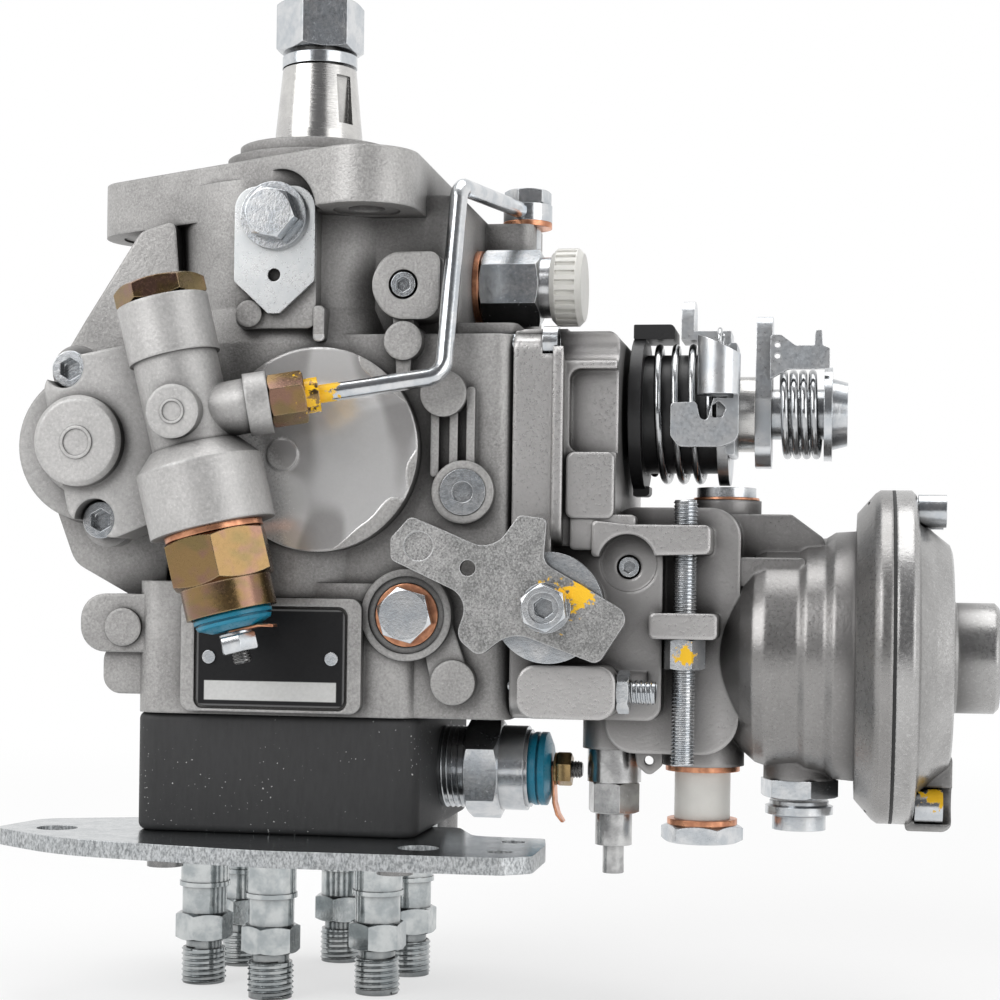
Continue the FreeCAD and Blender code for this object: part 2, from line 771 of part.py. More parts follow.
def terminal(start, down, tab_side, tab_length):
    """Stud, nut and tab at the end of a solenoid."""
    a = Vec(*start)
    side = Vec(*tab_side)
    side = (side - down * side.dot(down)).normalize()
    flat = down.cross(side).normalize()
    tab_end = a + down * tab_thickness
    corners = [a - side * 4 - flat * 3.2, a + side * tab_length - flat * 2.4, a + side * tab_length + flat * 2.4,
               a - side * 4 + flat * 3.2]
    tab = Part.Face(Part.makePolygon(corners + [corners[0]])).extrude(down * tab_thickness)
    nut_end = tab_end + down * 4.6
    nut = hexagon(terminal_flats, tuple(tab_end), tuple(nut_end), 10)
    stud = rod(2.5, tuple(nut_end), tuple(nut_end + down * 3.6))
    return fused(tab, nut, stud)


def stop_solenoid():
    """Fuel stop solenoid screwed into the head, with its sliding plunger."""
    z = stop_solenoid_z
    seat = stop_solenoid_seat
    hex_start = seat + 7.5
    hex_end = hex_start + 10.0
    can_end = hex_end + 8.0
    body = fused(rod(10.6, (seat - 9, 0, z), (seat, 0, z)), rod(11.4, (seat, 0, z), (hex_start, 0, z)),
                 hexagon(stop_solenoid_flats, (hex_start, 0, z), (hex_end, 0, z), 6),
                 rod(12.0, (hex_end, 0, z), (can_end - 1.0, 0, z)), rod(11.0, (can_end - 1.2, 0, z), (can_end, 0, z)))
    bore = rod(stop_plunger_r + running_gap, (seat - 10, 0, z), (seat + 9, 0, z))
    save("stop_solenoid", body.cut(bore))
    pin = fused(rod(stop_plunger_r, (seat - 16, 0, z), (seat + 9 - stop_plunger_travel - face_gap, 0, z)),
                rod(stop_plunger_r + 1.6, (seat - 16, 0, z), (seat - 13.5, 0, z)))
    save("stop_plunger", pin)
    blue = turned(((0, 0), (insulator_r, 0), (insulator_r + 0.6, 1.2), (insulator_r + 0.6, 4.6), (7.5, 5.8),
                   (0, 5.8)), (can_end, 0, z), (1, 0, 0))
    return blue, (can_end + 5.8, 0, z)


def pipe_and_fittings():
    """Bypass pipe with its union nut, and the bolt that holds its far end."""
    points = [Vec(*p) for p in pipe_route]
    edges = []
    last = points[0]
    for i in range(1, len(points) - 1):
        here = points[i]
        back = (points[i - 1] - here)
        ahead = (points[i + 1] - here)
        half = back.getAngle(ahead) / 2
        reach = pipe_bend_r / math.tan(half)
        back.normalize()
        ahead.normalize()
        middle = (back + ahead).normalize()
        centre = here + middle * (pipe_bend_r / math.sin(half))
        first = here + back * reach
        edges.append(Part.LineSegment(last, first).toShape())
        edges.append(Part.Arc(first, centre - middle * pipe_bend_r, here + ahead * reach).toShape())
        last = here + ahead * reach
    edges.append(Part.LineSegment(last, points[-1]).toShape())
    path = Part.Wire(edges)
    start = points[0]
    along = (points[1] - points[0]).normalize()
    section = Part.Wire(Part.makeCircle(pipe_r, start, along))
    pipe = path.makePipeShell([section], True, True)
    nut_base = tuple(start)
    nut_end = tuple(start + along * 9.5)
    nut = hexagon(pipe_nut_flats, nut_base, nut_end, 8).cut(rod(pipe_r + seat_gap, nut_base, nut_end))
    neck = tube(4.6, pipe_r + seat_gap, nut_end, tuple(start + along * 13.0))
    eye_low = union_block_top + washer_height
    eye_high = eye_low + eye_height
    eye = rod(eye_r, (eye_x, eye_y, eye_low), (eye_x, eye_y, eye_high))
    bolt_r = 4.0
    hollow = rod(bolt_r + seat_gap, (eye_x, eye_y, eye_low - 1), (eye_x, eye_y, eye_high + 1))
    save("bypass_pipe", pipe.fuse(eye).removeSplitter().cut(hollow))
    washers.append(tube(eye_r, bolt_r + seat_gap, (eye_x, eye_y, union_block_top), (eye_x, eye_y, eye_low)))
    bolt = fused(rod(bolt_r, (eye_x, eye_y, union_block_top - 8), (eye_x, eye_y, eye_high)),
                 hexagon(bolt_flats, (eye_x, eye_y, eye_high), (eye_x, eye_y, eye_high + 4.4), 15))
    plugs.append(bolt)
    return fused(nut, neck)


def inlet():
    """Fuel inlet union with its sealing washer and transport cap."""
    z = inlet_z
    washers.append(tube(10.6, inlet_thread_r + 0.2, (inlet_seat, 0, z), (inlet_seat + washer_height, 0, z)))
    hex_start = inlet_seat + washer_height
    hex_end = hex_start + inlet_hex_length
    body = fused(rod(inlet_thread_r, (inlet_seat - 11, 0, z), (hex_start, 0, z)),
                 hexagon(inlet_flats, (hex_start, 0, z), (hex_end, 0, z), 0),
                 rod(8.6, (hex_end, 0, z), (hex_end + 3.0, 0, z)), rod(7.0, (hex_end, 0, z), (hex_end + 9.0, 0, z)))
    body = body.cut(rod(4.5, (inlet_seat - 12, 0, z), (hex_end + 10, 0, z)))
    save("inlet_fitting", body)
    cap_start = hex_end + 3.0 + face_gap
    cap_end = cap_start + inlet_cap_length
    cap = turned(((0, 0), (inlet_cap_r - 1.5, 0), (inlet_cap_r, 1.5), (inlet_cap_r, inlet_cap_length - 1.5),
                  (inlet_cap_r - 1.5, inlet_cap_length), (0, inlet_cap_length)), (cap_start, 0, z), (1, 0, 0))
    cap = cap.cut(rod(7.0 + seat_gap, (cap_start - 1, 0, z), (hex_end + 9.0 + 0.2, 0, z)))
    groove = block((cap_start + 1.6, cap_end - 1.8), (-0.7, 0.7), (z + inlet_cap_r - 0.7, z + inlet_cap_r + 1))
    save("inlet_cap", without(cap, *around(groove, 24, (0, 0, z), (1, 0, 0))))


def shaft_lock():
    """Lock screw and the spacer plate under its head."""
    back = -front_face
    front = back - lock_plate_thickness
    points = ((-lock_plate_half, lock_z + 8), (-lock_plate_half, lock_plate_shoulder), (-1.6, lock_plate_tip),
              (1.6, lock_plate_tip), (lock_plate_half, lock_plate_shoulder), (lock_plate_half, lock_z + 8))
    body = plate(points, (6, 1.5, 1, 1, 1.5, 6), "xz", back, front)
    hole = rod(1.75, (0, back + 1, -32.4), (0, front - 1, -32.4))
    bore = rod(lock_screw_r + screw_gap, (0, back + 1, lock_z), (0, front - 1, lock_z))
    save("shaft_lock_plate", without(body, hole, bore))
    collar = rod(lock_collar_r, (0, front, lock_z), (0, front - 1.8, lock_z))
    head = hexagon(lock_flats, (0, front - 1.8, lock_z), (0, front - 7.0, lock_z), 20)
    save("shaft_lock_screw", fused(collar, head, rod(lock_screw_r, (0, front, lock_z), (0, -25, lock_z))))


def name_plate():
    """Bare plate and its two rivets."""
    back = -front_face
    front = back - plate_thickness
    z = (plate_low + plate_high) / 2
    body = plate(rectangle((-plate_half_x, plate_half_x), (plate_low, plate_high)), 2.2, "xz", back, front)
    for x in (-rivet_x, rivet_x):
        body = body.cut(rod(rivet_r * 0.6 + seat_gap, (x, back + 1, z), (x, front - 1, z)))
        screws.append(fused(rod(rivet_r * 0.6, (x, back + 2.5, z), (x, front, z)),
                            rod(rivet_r, (x, front, z), (x, front - 0.6, z))))
    save("name_plate", body)


def housing_plugs():
    """Hex plug with its washer and the pressed plug above it."""
    y = -front_face + 2.0
    washers.append(tube(8.5, 5.1, (access_x, y + 1.4, access_z), (access_x, y, access_z)))
    hex_plug = fused(hexagon(access_flats, (access_x, y, access_z), (access_x, y - 4.2, access_z), 14),
                     rod(5.0, (access_x, y, access_z), (access_x, -32, access_z)))
    outer = pressed_r - 0.62
    floor = -front_face + 3.3
    pressed = rod(outer, (pressed_x, floor - 1.5, pressed_z), (pressed_x, floor, pressed_z)).cut(
        rod(2.8, (pressed_x, floor - 2.7, pressed_z), (pressed_x, floor - 0.6, pressed_z)))
    plugs.extend((hex_plug, pressed))


def distributor_head():
    """Steel head with the plunger barrel, valve bores and solenoid bore."""
    body = plate(rectangle((-base_half_x, base_half_x), (-base_half_y + 1, base_half_y - 1)), 6, "xy", head_bottom,
                 -housing_length)
    rims = [edge for edge in body.Edges if abs(edge.BoundBox.ZMax - edge.BoundBox.ZMin) < 0.01]
    body = body.makeFillet(head_edge_r, rims)
    spigot = rod(cam_bore_r - seat_gap, (0, 0, -housing_length), (0, 0, -housing_length + head_spigot_height))
    body = fused(body, spigot)
    notch = block((6, cam_bore_r + 1), (-12, 12), (-housing_length + 2, -housing_length + head_spigot_height + 1))
    cuts = [notch, rod(plunger_r + running_gap, (0, 0, -housing_length - 24), (0, 0, 0)),
            rod(10.62, (stop_solenoid_seat - 10, 0, stop_solenoid_z), (stop_solenoid_seat + 1, 0, stop_solenoid_z)),
            rod(stop_plunger_r + 2.0, (stop_solenoid_seat - 20, 0, stop_solenoid_z),
                (stop_solenoid_seat, 0, stop_solenoid_z)),
            rod(7.02, (0, 0, head_bottom - 1), (0, 0, head_bottom + 6))]
    for bore in around(rod(5.52, (valve_circle_r, 0, head_bottom - 1), (valve_circle_r, 0, head_bottom + 8)),
                       valve_count, start=valve_turn):
        cuts.append(bore)
    for place in head_screw_places():
        cuts.append(rod(head_screw_r + screw_gap, place + (head_bottom - 1,), place + (-housing_length + 1,)))
    save("distributor_head", without(body, *cuts).removeSplitter())


def head_fasteners():
    """Head screws, which also clamp the bracket, and the vent plug in the middle of the head."""
    solids = []
    for place in head_screw_places():
        seat = place + (head_bottom if place[1] > 0 else bracket_bottom,)
        socket_screw(5.0, 6.0, head_screw_r, seat, place + (-housing_length + 12,), solids)
    vent = fused(hexagon(17.0, (0, 0, head_bottom), (0, 0, head_bottom - 8.0), 10),
                 rod(7.0, (0, 0, head_bottom), (0, 0, head_bottom + 5.5)))
    save("head_screws", *solids)
    plugs.append(vent)


def delivery_valves():
    """Six delivery valve holders."""
    x = valve_circle_r
    top = head_bottom
    valve_tip = top - valve_reach
    hex_top = valve_tip + 20.0
    hex_low = hex_top - 7.6
    body = fused(rod(5.5, (x, 0, top), (x, 0, top + 7.0)), rod(valve_r + 1.2, (x, 0, top), (x, 0, top - 5.0)),
                 rod(valve_r, (x, 0, top - 5.0), (x, 0, top - 17.5)),
                 rod(valve_r - 0.5, (x, 0, top - 17.5), (x, 0, hex_top)),
                 hexagon(valve_flats, (x, 0, hex_top), (x, 0, hex_low), 0),
                 rod(valve_thread_r - 0.9, (x, 0, hex_low), (x, 0, hex_low - 2.5)),
                 rod(valve_thread_r, (x, 0, hex_low - 2.5), (x, 0, valve_tip)))
    mouth = Part.makeCone(3.6, 1.3, 4.0, Vec(x, 0, valve_tip), Vec(0, 0, 1))
    body = without(body, mouth, rod(1.3, (x, 0, valve_tip), (x, 0, valve_tip + 30)))
    save("delivery_valves", *around(body, valve_count, start=valve_turn))


def rear_bracket():
    """Support plate under the head."""
    body = plate(bracket_outline, bracket_radii, "xy", bracket_bottom, bracket_top)
    cuts = [rod(bracket_window_r, (0, 0, bracket_bottom - 1), (0, 0, bracket_top + 1))]
    for x, y, r in bracket_holes:
        cuts.append(rod(r, (x, y, bracket_bottom - 1), (x, y, bracket_top + 1)))
    for place in head_screw_places():
        cuts.append(rod(head_screw_r + screw_gap, place + (bracket_bottom - 1,), place + (bracket_top + 1,)))
    save("rear_bracket", without(body, *cuts))


def boost_case():
    """Lower case of the boost compensator, turned about its own axis."""
    profile = ((0, 100), (19, 112), (21, 119), (27, 124.5), (30, 128), (31, 131), (31, 140), (32.2, 142),
               (32.6, 147), (34.2, 149.5), (34.6, 155), (39.5, 155.2), (boost_flange_r - 1, 160),
               (boost_flange_r, 161.5), (boost_flange_r, boost_joint), (0, boost_joint))
    return turned(profile, (0, 0, boost_z), (1, 0, 0))


def boost_screw_places():
    """Centres of the compensator's screws, seen along X."""
    return [(side * boost_screw_y, boost_z + end * boost_screw_z) for side in (-1, 1) for end in (-1, 1)]


def governor_cover():
    """Cover casting with the boost compensator's lower case and the screw arms."""
    y = cover_half_y
    upper = plate(rectangle((joint_x, cover_face), (cover_step - 6, cover_top)), (1, 1, 3, 3), "xz", -y + 2.5, y - 2.5)
    rim = plate(rectangle((-y, y), (cover_bottom, cover_top)), 6, "yz", joint_x, bead_start)
    bead = plate(rectangle((-y - 1, y + 1), (cover_step - 6.5, cover_top + 0.6)), 6, "yz", bead_start, bead_end)
    lower = plate(rectangle((joint_x, 104), (cover_bottom, cover_step)), (1, 4, 6, 1), "xz", -30, 30)
    neck = plate(rectangle((88, 124.2), (boost_z - 27, boost_z + 40)), (8, 10, 8, 8), "xz", -21, 21)
    crest = boost_z + 38.7
    shoulder = plate(((112, crest), (137.5, crest), (146.5, crest - 6.6), (143, boost_z + 3), (112, boost_z + 3)), 2,
                     "xz", -12, 12)
    ledge = plate(((121.5, crest - 19.5), (124, crest - 12), (142, crest - 12), (140, crest - 17.5),
                   (133, crest - 20.5)), 1.2, "xz", -20, -8)
    shelf = plate(rectangle((panel_start - 0.4, cover_face - 0.3), (shelf_low, panel_low)), 2, "xz", -y + 1.0, -30)
    notch = plate(rectangle((panel_start + 0.8, 97), (notch_low, shelf_low + 1)), 1.2, "xz", -y + 1.6, -28.6)
    throttle_boss = rod(12.0, (cover_face - 4, 0, throttle_z), (cover_face + 1.5, 0, throttle_z))
    plug_boss = rod(9.8, (plug_boss_x, 0, -110), (plug_boss_x, 0, plug_boss_top))
    stop_boss = rod(stop_boss_r, (stop_x, -24, stop_z), (stop_x, -38.5, stop_z))
    arm = plate(((cover_face - 6, speed_arm_top + 1), (cover_face + 4, speed_arm_top), (117, speed_arm_top),
                 (117, speed_arm_top - speed_arm_thickness), (cover_face - 6, speed_arm_top - speed_arm_thickness - 1)),
                (1, 2, 1.6, 1.6, 1), "xz", -36, -18)
    foot = plate(rectangle((101, 119), (speed_foot_top - speed_foot_thickness, speed_foot_top)), 1.4, "xz", -36, -15)
    stop_block = plate(rectangle((67.7, 93.5), (-149.6, -135.6)), 4.5, "xz", -47, -26)
    return_boss = rod(11.5, (return_x, 0, boost_z - 7), (return_x, 0, return_seat))
    nipple_boss = rod(10.0, (nipple_x, 0, boost_z - 7), (nipple_x, 0, nipple_seat))
    load_boss = rod(9.0, (full_load_x, 0, boost_z - 7), (full_load_x, 0, full_load_seat))
    low = boost_z - 31.0
    tab = plate(((94, low + 14), (103, low + 14), (103, low), (99.5, low - 3), (96, low)), 2, "xz", -12, -9)
    panel = plate(rectangle((panel_start, cover_face + 1), (panel_low, panel_high)), (3, 0.2, 0.2, 3), "xz",
                  -y - 1, -y + 2.5 + panel_depth)
    upper = upper.cut(panel)
    body = fused(upper, rim, bead, lower, neck, shoulder, ledge, shelf, notch, boost_case(), throttle_boss, plug_boss,
                 stop_boss, arm, foot, stop_block, return_boss, nipple_boss, load_boss, tab)
    screw_seat = -arch_floor + 2.2
    cuts = [rod(arch_r, (arch_x, -40, arch_z), (arch_x, -arch_floor, arch_z)),
            block((joint_x - 1, cavity_end), (-cavity_half_y, cavity_half_y), (cavity_bottom, cavity_top)),
            rod(throttle_shaft_r + running_gap, (cavity_end - 1, 0, throttle_z), (cover_face + 2, 0, throttle_z)),
            rod(stop_shaft_r + running_gap, (stop_x, -40, stop_z), (stop_x, -26, stop_z)),
            rod(screw_r + seat_gap, (speed_x, speed_y, speed_bottom - 8), (speed_x, speed_y, speed_top + 11)),
            rod(screw_r + seat_gap, (60, stop_screw_y, stop_screw_z), (100, stop_screw_y, stop_screw_z)),
            rod(5.52, (full_load_x, 0, full_load_seat - 8), (full_load_x, 0, cavity_bottom - 2)),
            rod(5.0 + seat_gap, (return_x, 0, return_seat - 6), (return_x, 0, return_seat + 14)),
            rod(6.0 + seat_gap, (nipple_x, 0, nipple_seat - 3), (nipple_x, 0, nipple_seat + 17)),
            rod(6.0 + seat_gap, (plug_boss_x, 0, plug_boss_top - 11.8), (plug_boss_x, 0, plug_boss_top + 2.2)),
            rod(1.3, (99.3, -13, low + 1.4), (99.3, -8, low + 1.4)),
            rod(boost_pin_r + running_gap, (96, 0, boost_z), (boost_joint - 1, 0, boost_z)),
            turned(((0, boost_chamber_floor), (22, boost_chamber_floor), (boost_chamber_r, 150), (boost_chamber_r, boost_joint + 1),
                    (0, boost_joint + 1)), (0, 0, boost_z), (1, 0, 0)),
            rod(arch_screw_r + 0.6, (arch_x, -40, arch_z - 1), (arch_x, screw_seat, arch_z - 1)),
            rod(1.6 + seat_gap, (arch_x, -40, arch_z - 1), (arch_x, -16, arch_z - 1))]
    for place in cover_screw_places():
        seat = (bead_start - 3.0,) + place
        cuts.append(rod(2.5 + screw_gap, (joint_x - 1,) + place, (cover_face + 9,) + place))
        cuts.append(rod(5.2, seat, (cover_face + 9,) + place))
        socket_screw(4.4, 4.0, 2.5, seat, (joint_x - 11,) + place)
    for place in boost_screw_places():
        cuts.append(rod(2.5 + seat_gap, (boost_joint - 6.5,) + place, (boost_joint + 1,) + place))
    trim = boost_flange_r + abs(boost_z)
    cuts.append(block((joint_x - 20, joint_x), (-trim, trim), (-trim - 30, -20)))
    save("governor_cover", without(body, *cuts).removeSplitter())
    socket_screw(arch_screw_r, 2.0, 1.6, (arch_x, screw_seat, arch_z - 1), (arch_x, -17, arch_z - 1))
    socket_screw(3.3, 2.6, 2.0, (34.6, -front_face + 4.1, -34.7), (34.6, -34, -34.7))


def boost_parts():
    """Cover, diaphragm, guide pin and spring of the boost compensator."""
    start = boost_joint + face_gap
    disc = tube(boost_flange_r, boost_pin_r - 0.8, (start, 0, boost_z), (start + diaphragm_thickness, 0, boost_z))
    face = start + diaphragm_thickness
    flange_end = face + boost_cover_flange
    profile = ((0, face), (boost_flange_r, face), (boost_flange_r, flange_end - 1.2), (boost_flange_r - 1.2, flange_end),
               (38.5, flange_end + 0.8), (34.5, boost_dome_end - 5), (31.0, boost_dome_end - 0.6),
               (29.5, boost_dome_end), (boost_boss_r + 1.0, boost_dome_end), (boost_boss_r, boost_dome_end + 1.5),
               (boost_boss_r, boost_end - 1.2), (boost_boss_r - 1.2, boost_end), (0, boost_end))
    body = turned(profile, (0, 0, boost_z), (1, 0, 0))
    port = plate(rectangle((flange_end - 2, 181.5), (boost_z - 47.0, boost_z - 25.0)), (1, 3, 3, 1), "xz", -9.5, 9.5)
    cavity = turned(((0, face - 1), (boost_chamber_r, face - 1), (boost_chamber_r, face + 6), (20, face + 10),
                     (9, face + 10), (9, boost_end - 5), (0, boost_end - 5)), (0, 0, boost_z), (1, 0, 0))
    body = without(fused(body, port), cavity, rod(3.5, (175.5, 0, boost_z - 52), (175.5, 0, boost_z - 26)))
    for place in boost_screw_places():
        seat = (flange_end + 0.4,) + place
        body = without(body, rod(2.5 + screw_gap, (face - 1,) + place, (boost_end,) + place),
                       rod(5.0, seat, (boost_end,) + place))
        disc = disc.cut(rod(2.5 + screw_gap, (start - 1,) + place, (face + 1,) + place))
        socket_screw(4.5, 7.5, 2.5, seat, (boost_joint - 6,) + place)
    save("boost_cover", body.removeSplitter())
    save("boost_diaphragm", disc)
    pin = fused(rod(boost_pin_r, (112, 0, boost_z), (start - 1.2, 0, boost_z)),
                rod(22.0, (start - 1.6, 0, boost_z), (start - face_gap, 0, boost_z)),
                rod(boost_pin_r - 1.1, (start - 2, 0, boost_z), (face + 4, 0, boost_z)))
    save("boost_pin", pin)
    spring_base = boost_chamber_floor + boost_spring_wire + face_gap
    pitch = (start - 1.6 - boost_spring_wire - face_gap - spring_base) / 4.0
    save("boost_spring", coil(11.0, boost_spring_wire, pitch, 4.0, (spring_base, 0, boost_z), (1, 0, 0)))


def throttle_parts():
    """Everything on the throttle shaft."""
    z = throttle_z
    bush = fused(rod(spring_bush_r, (cover_face + 1.6, 0, z), (spring_bush_end, 0, z)),
                 rod(spring_flange_r, (cover_face + 1.6, 0, z), (cover_face + 5.0, 0, z)),
                 plate(rectangle((cover_face + 1.6, 104.6), (z + throttle_spring_r + 1.7, z + 24.4)), (0.4, 0.4, 1.5, 0.4),
                       "xz", -8, 8),
                 plate(rectangle((cover_face + 1.6, cover_face + 6.2), (z - 23.2, z - 20.4)), (0.4, 1.2, 0.4, 0.4),
                       "xz", -4, 4))
    bush = bush.cut(rod(throttle_shaft_r + running_gap, (cover_face, 0, z), (spring_bush_end + 1, 0, z)))
    save("spring_bush", bush)
    spring_start = cover_face + 6.2
    return_springs.append(coil(throttle_spring_r, throttle_spring_wire,
                               (spring_bush_end - 1.2 - spring_start) / throttle_spring_turns,
                               throttle_spring_turns, (spring_start, 0, z), (1, 0, 0)))
    disc_start = spring_bush_end + face_gap
    disc_end = disc_start + 3.0
    crank = fused(rod(9.0, (79.5, 0, z), (82.5, 0, z)), rod(2.0, (76.6, 0, z + 6.5), (80, 0, z + 6.5)))
    shaft = fused(crank, rod(throttle_shaft_r, (80, 0, z), (disc_end, 0, z)),
                  rod(throttle_shaft_r - 0.5, (disc_end, 0, z), (throttle_end - 3.0, 0, z)),
                  rod(lever_hub_r, (disc_end, 0, z), (outer_lever_x, 0, z)))
    save("throttle_shaft", shaft)
    disc = rod(lever_disc_r, (disc_start, 0, z), (disc_end, 0, z))
    web = block((106.3, disc_end), (-7, 7), (z + throttle_spring_r + 1.6, z + throttle_spring_r + 4.0))
    tab = plate(rectangle((-7, 7), (z + throttle_spring_r + 1.6, z + 31.5)), (1, 1, 6, 6), "yz", 106.3, 109.8)
    lug = plate(rectangle((disc_start, disc_end), (z + 10, z + throttle_spring_r + 4.0)), 0.5, "xz", -7, 7)
    lever = fused(disc, web, tab, lug).cut(rod(throttle_shaft_r + seat_gap, (110, 0, z), (125, 0, z)))
    levers = [lever]
    y = carrier_y
    tube_low = z + 3.0
    tube_high = z + 19.2
    outer = rod(carrier_tube_r, (carrier_tube_x, y, tube_low), (carrier_tube_x, y, tube_high))
    inner = rod(carrier_tube_r - 1.4, (carrier_tube_x, y, tube_low - 1), (carrier_tube_x, y, tube_high + 1))
    slope = plate(((105, tube_high + 3.2), (125, tube_high - 5.8), (125, tube_high + 5), (105, tube_high + 6)), 0.2,
                  "xz", y - 9, y + 9)
    hook = plate(((105.4, z + 0.8), (112.2, z + 1.1), (113.2, z - 3.4), (115.2, z - 4.0), (117.2, z + 3.6),
                  (carrier_tube_x + carrier_tube_r - 0.3, z + 3.6), (carrier_tube_x + carrier_tube_r - 0.3, z - 9.0),
                  (119.0, z - 10.9), (107.6, z - 10.9), (105.4, z - 8.0)),
                 (1.0, 1.0, 1.6, 1.6, 0.6, 0.4, 3.0, 3.0, 2.0, 2.0), "xz", y - 1.6, y + 0.8)
    eye = plate(((116.4, z - 3.2), (116.4, z + 0.2), (118.2, z + 1.4), (120.2, z - 0.6), (119.2, z - 3.2)), 0.8, "xz",
                y - 4, y + 4)
    strip = plate(rectangle((disc_end + seat_gap, disc_end + 2.4), (z - 13, z + 18)), 0.8, "xz", y, -6)
    carrier = without(fused(outer, hook, strip), inner, slope, eye)
    carrier = carrier.cut(rod(lever_hub_r + seat_gap, (110, 0, z), (130, 0, z)))
    save("spring_carrier", carrier.removeSplitter())
    points = ((-5.5, z + 27.0), (5.5, z + 27.0), (8.5, z + 4), (8.0, z - 11), (4.0, z - 15.0), (-4.0, z - 15.0),
              (-8.0, z - 11), (-8.5, z + 4))
    outer_lever = plate(points, (4, 4, 6, 4, 3, 3, 4, 6), "yz", outer_lever_x, outer_lever_x + outer_lever_thickness)
    far = outer_lever_x + 20.2
    stop_tab = plate(((outer_lever_x + 4.0, z + 9), (outer_lever_x + 4.0, z + 21.2), (outer_lever_x + 6.8, z + 21.2),
                      (outer_lever_x + 10.8, z + 18.2), (far - 4.2, z + 18.2), (far - 4.0, z + 22.4), (far - 2.2, z + 22.4),
                      (far - 2.0, z + 18.2), (far, z + 17.4), (far, z + 11.8), (outer_lever_x + 9.0, z + 11.8)),
                     (0.3, 0.8, 1.5, 2.0, 0.6, 0.5, 0.5, 0.6, 0.6, 0.6, 3.0), "xz", -9.5, -7.7)
    outer_lever = fused(outer_lever, stop_tab)
    for level in (15.4, 18.4):
        place = (outer_lever_x + 5.9, z + level)
        outer_lever = outer_lever.cut(rod(0.75, (place[0], -11, place[1]), (place[0], -6, place[1])))
    outer_lever = outer_lever.cut(rod(throttle_shaft_r - 0.5 + seat_gap, (120, 0, z), (150, 0, z)))
    levers.append(outer_lever)
    save("throttle_levers", *levers)
    spring_low = outer_lever_x + outer_lever_thickness + 2.4
    washer_x = throttle_end - 6.4
    spring = coil(torsion_spring_r, torsion_spring_wire, (washer_x - 1.4 - spring_low) / 4.0, 4.0,
                  (spring_low, 0, z), (1, 0, 0))
    spacer = tube(7.0, throttle_shaft_r - 0.5 + seat_gap, (outer_lever_x + outer_lever_thickness, 0, z),
                  (washer_x, 0, z))
    save("torsion_spring", spring)
    cap = turned(((0, washer_x), (end_washer_r, washer_x), (end_washer_r, washer_x + 2.2), (end_cap_r + 0.3, washer_x + 2.2),
                  (end_cap_r - 0.8, throttle_end), (0, throttle_end)), (0, 0, z), (1, 0, 0))
    cap = cap.cut(rod(throttle_shaft_r - 0.5 + seat_gap, (100, 0, z), (throttle_end - 3.0 + 0.05, 0, z)))
    save("end_cap", fused(cap, spacer))


def stop_lever_parts():
    """Stop lever with its shaft, nut and return spring."""
    y = stop_plate_y
    front = y - stop_plate_thickness
    body = plate(stop_outline, (2, 2, 2, 6, 4, 3, 9, 2.5, 3.5, 6, 4, 1.5, 1.5, 8), "xz", front, y)
    cuts = [rod(stop_shaft_r + seat_gap, (stop_x, -60, stop_z), (stop_x, -40, stop_z)),
            rod(2.1, (54.9, -60, -110.4), (54.9, -40, -110.4)),
            rod(3.9, (41.7, -60, -104.8), (41.7, front + 0.5, -104.8))]
    save("stop_lever", without(body, *cuts))
    shaft = rod(stop_shaft_r, (stop_x, -27, stop_z), (stop_x, front - 5.6, stop_z))
    crank = fused(rod(7.0, (stop_x, -24.5, stop_z), (stop_x, -27.6, stop_z)),
                  rod(2.0, (stop_x, -20, stop_z + 4.5), (stop_x, -25, stop_z + 4.5)))
    nut = fused(hexagon(stop_nut_flats, (stop_x, front, stop_z), (stop_x, front - 6.4, stop_z), 8),
                rod(stop_nut_flange_r, (stop_x, front, stop_z), (stop_x, front - 1.7, stop_z)))
    seat = tube(stop_spring_r, stop_shaft_r + 4.5, (stop_x, -46.4, stop_z), (stop_x, y, stop_z))
    hub = tube(stop_shaft_r + 4.6, stop_shaft_r, (stop_x, -38.6, stop_z), (stop_x, y, stop_z))
    nut = nut.cut(rod(stop_shaft_r + 0.01, (stop_x, front - 7, stop_z), (stop_x, front + 1, stop_z)))
    mouth = hexagon(4.8, (stop_x, front - 3.0, stop_z), (stop_x, front - 8.0, stop_z), 8)
    save("stop_lever_shaft", fused(shaft, crank, hub, seat).cut(mouth), nut)
    return_springs.append(coil(stop_spring_r - 2.2, 0.9, 2.2, 2.4, (stop_x, -39.5, stop_z), (0, -1, 0)))


def adjusting_screws():
    """Speed screw, stop screw and full load screw with their lock nuts."""
    speed = rod(screw_r, (speed_x, speed_y, speed_bottom), (speed_x, speed_y, speed_top))
    foot_low = speed_foot_top - speed_foot_thickness
    nut = hexagon(10.0, (speed_x, speed_y, foot_low), (speed_x, speed_y, foot_low - 8.2), 5)
    stop = rod(screw_r, (68.0, stop_screw_y, stop_screw_z), (103.5, stop_screw_y, stop_screw_z))
    stop_nut = hexagon(10.0, (93.5, stop_screw_y, stop_screw_z), (96.9, stop_screw_y, stop_screw_z), 0)
    save("adjusting_screws", fused(speed, nut), fused(stop, stop_nut))
    x = full_load_x
    top = full_load_seat
    sleeve_end = top - 9.4
    nut_end = sleeve_end - 8.8
    collar_end = nut_end - 9.0
    tip = collar_end - 8.0
    sleeve = rod(7.6, (x, 0, top), (x, 0, sleeve_end))
    nut = hexagon(13.0, (x, 0, sleeve_end), (x, 0, nut_end), 12)
    body = fused(sleeve, nut, rod(5.2, (x, 0, nut_end + 0.4), (x, 0, collar_end)),
                 rod(3.0, (x, 0, collar_end + 0.4), (x, 0, tip)), rod(5.5, (x, 0, top), (x, 0, cavity_bottom - 2.5)))
    slot = block((x - 4, x + 4), (-0.6, 0.6), (tip - 0.6, tip + 2.4))
    save("full_load_screw", body.cut(slot))


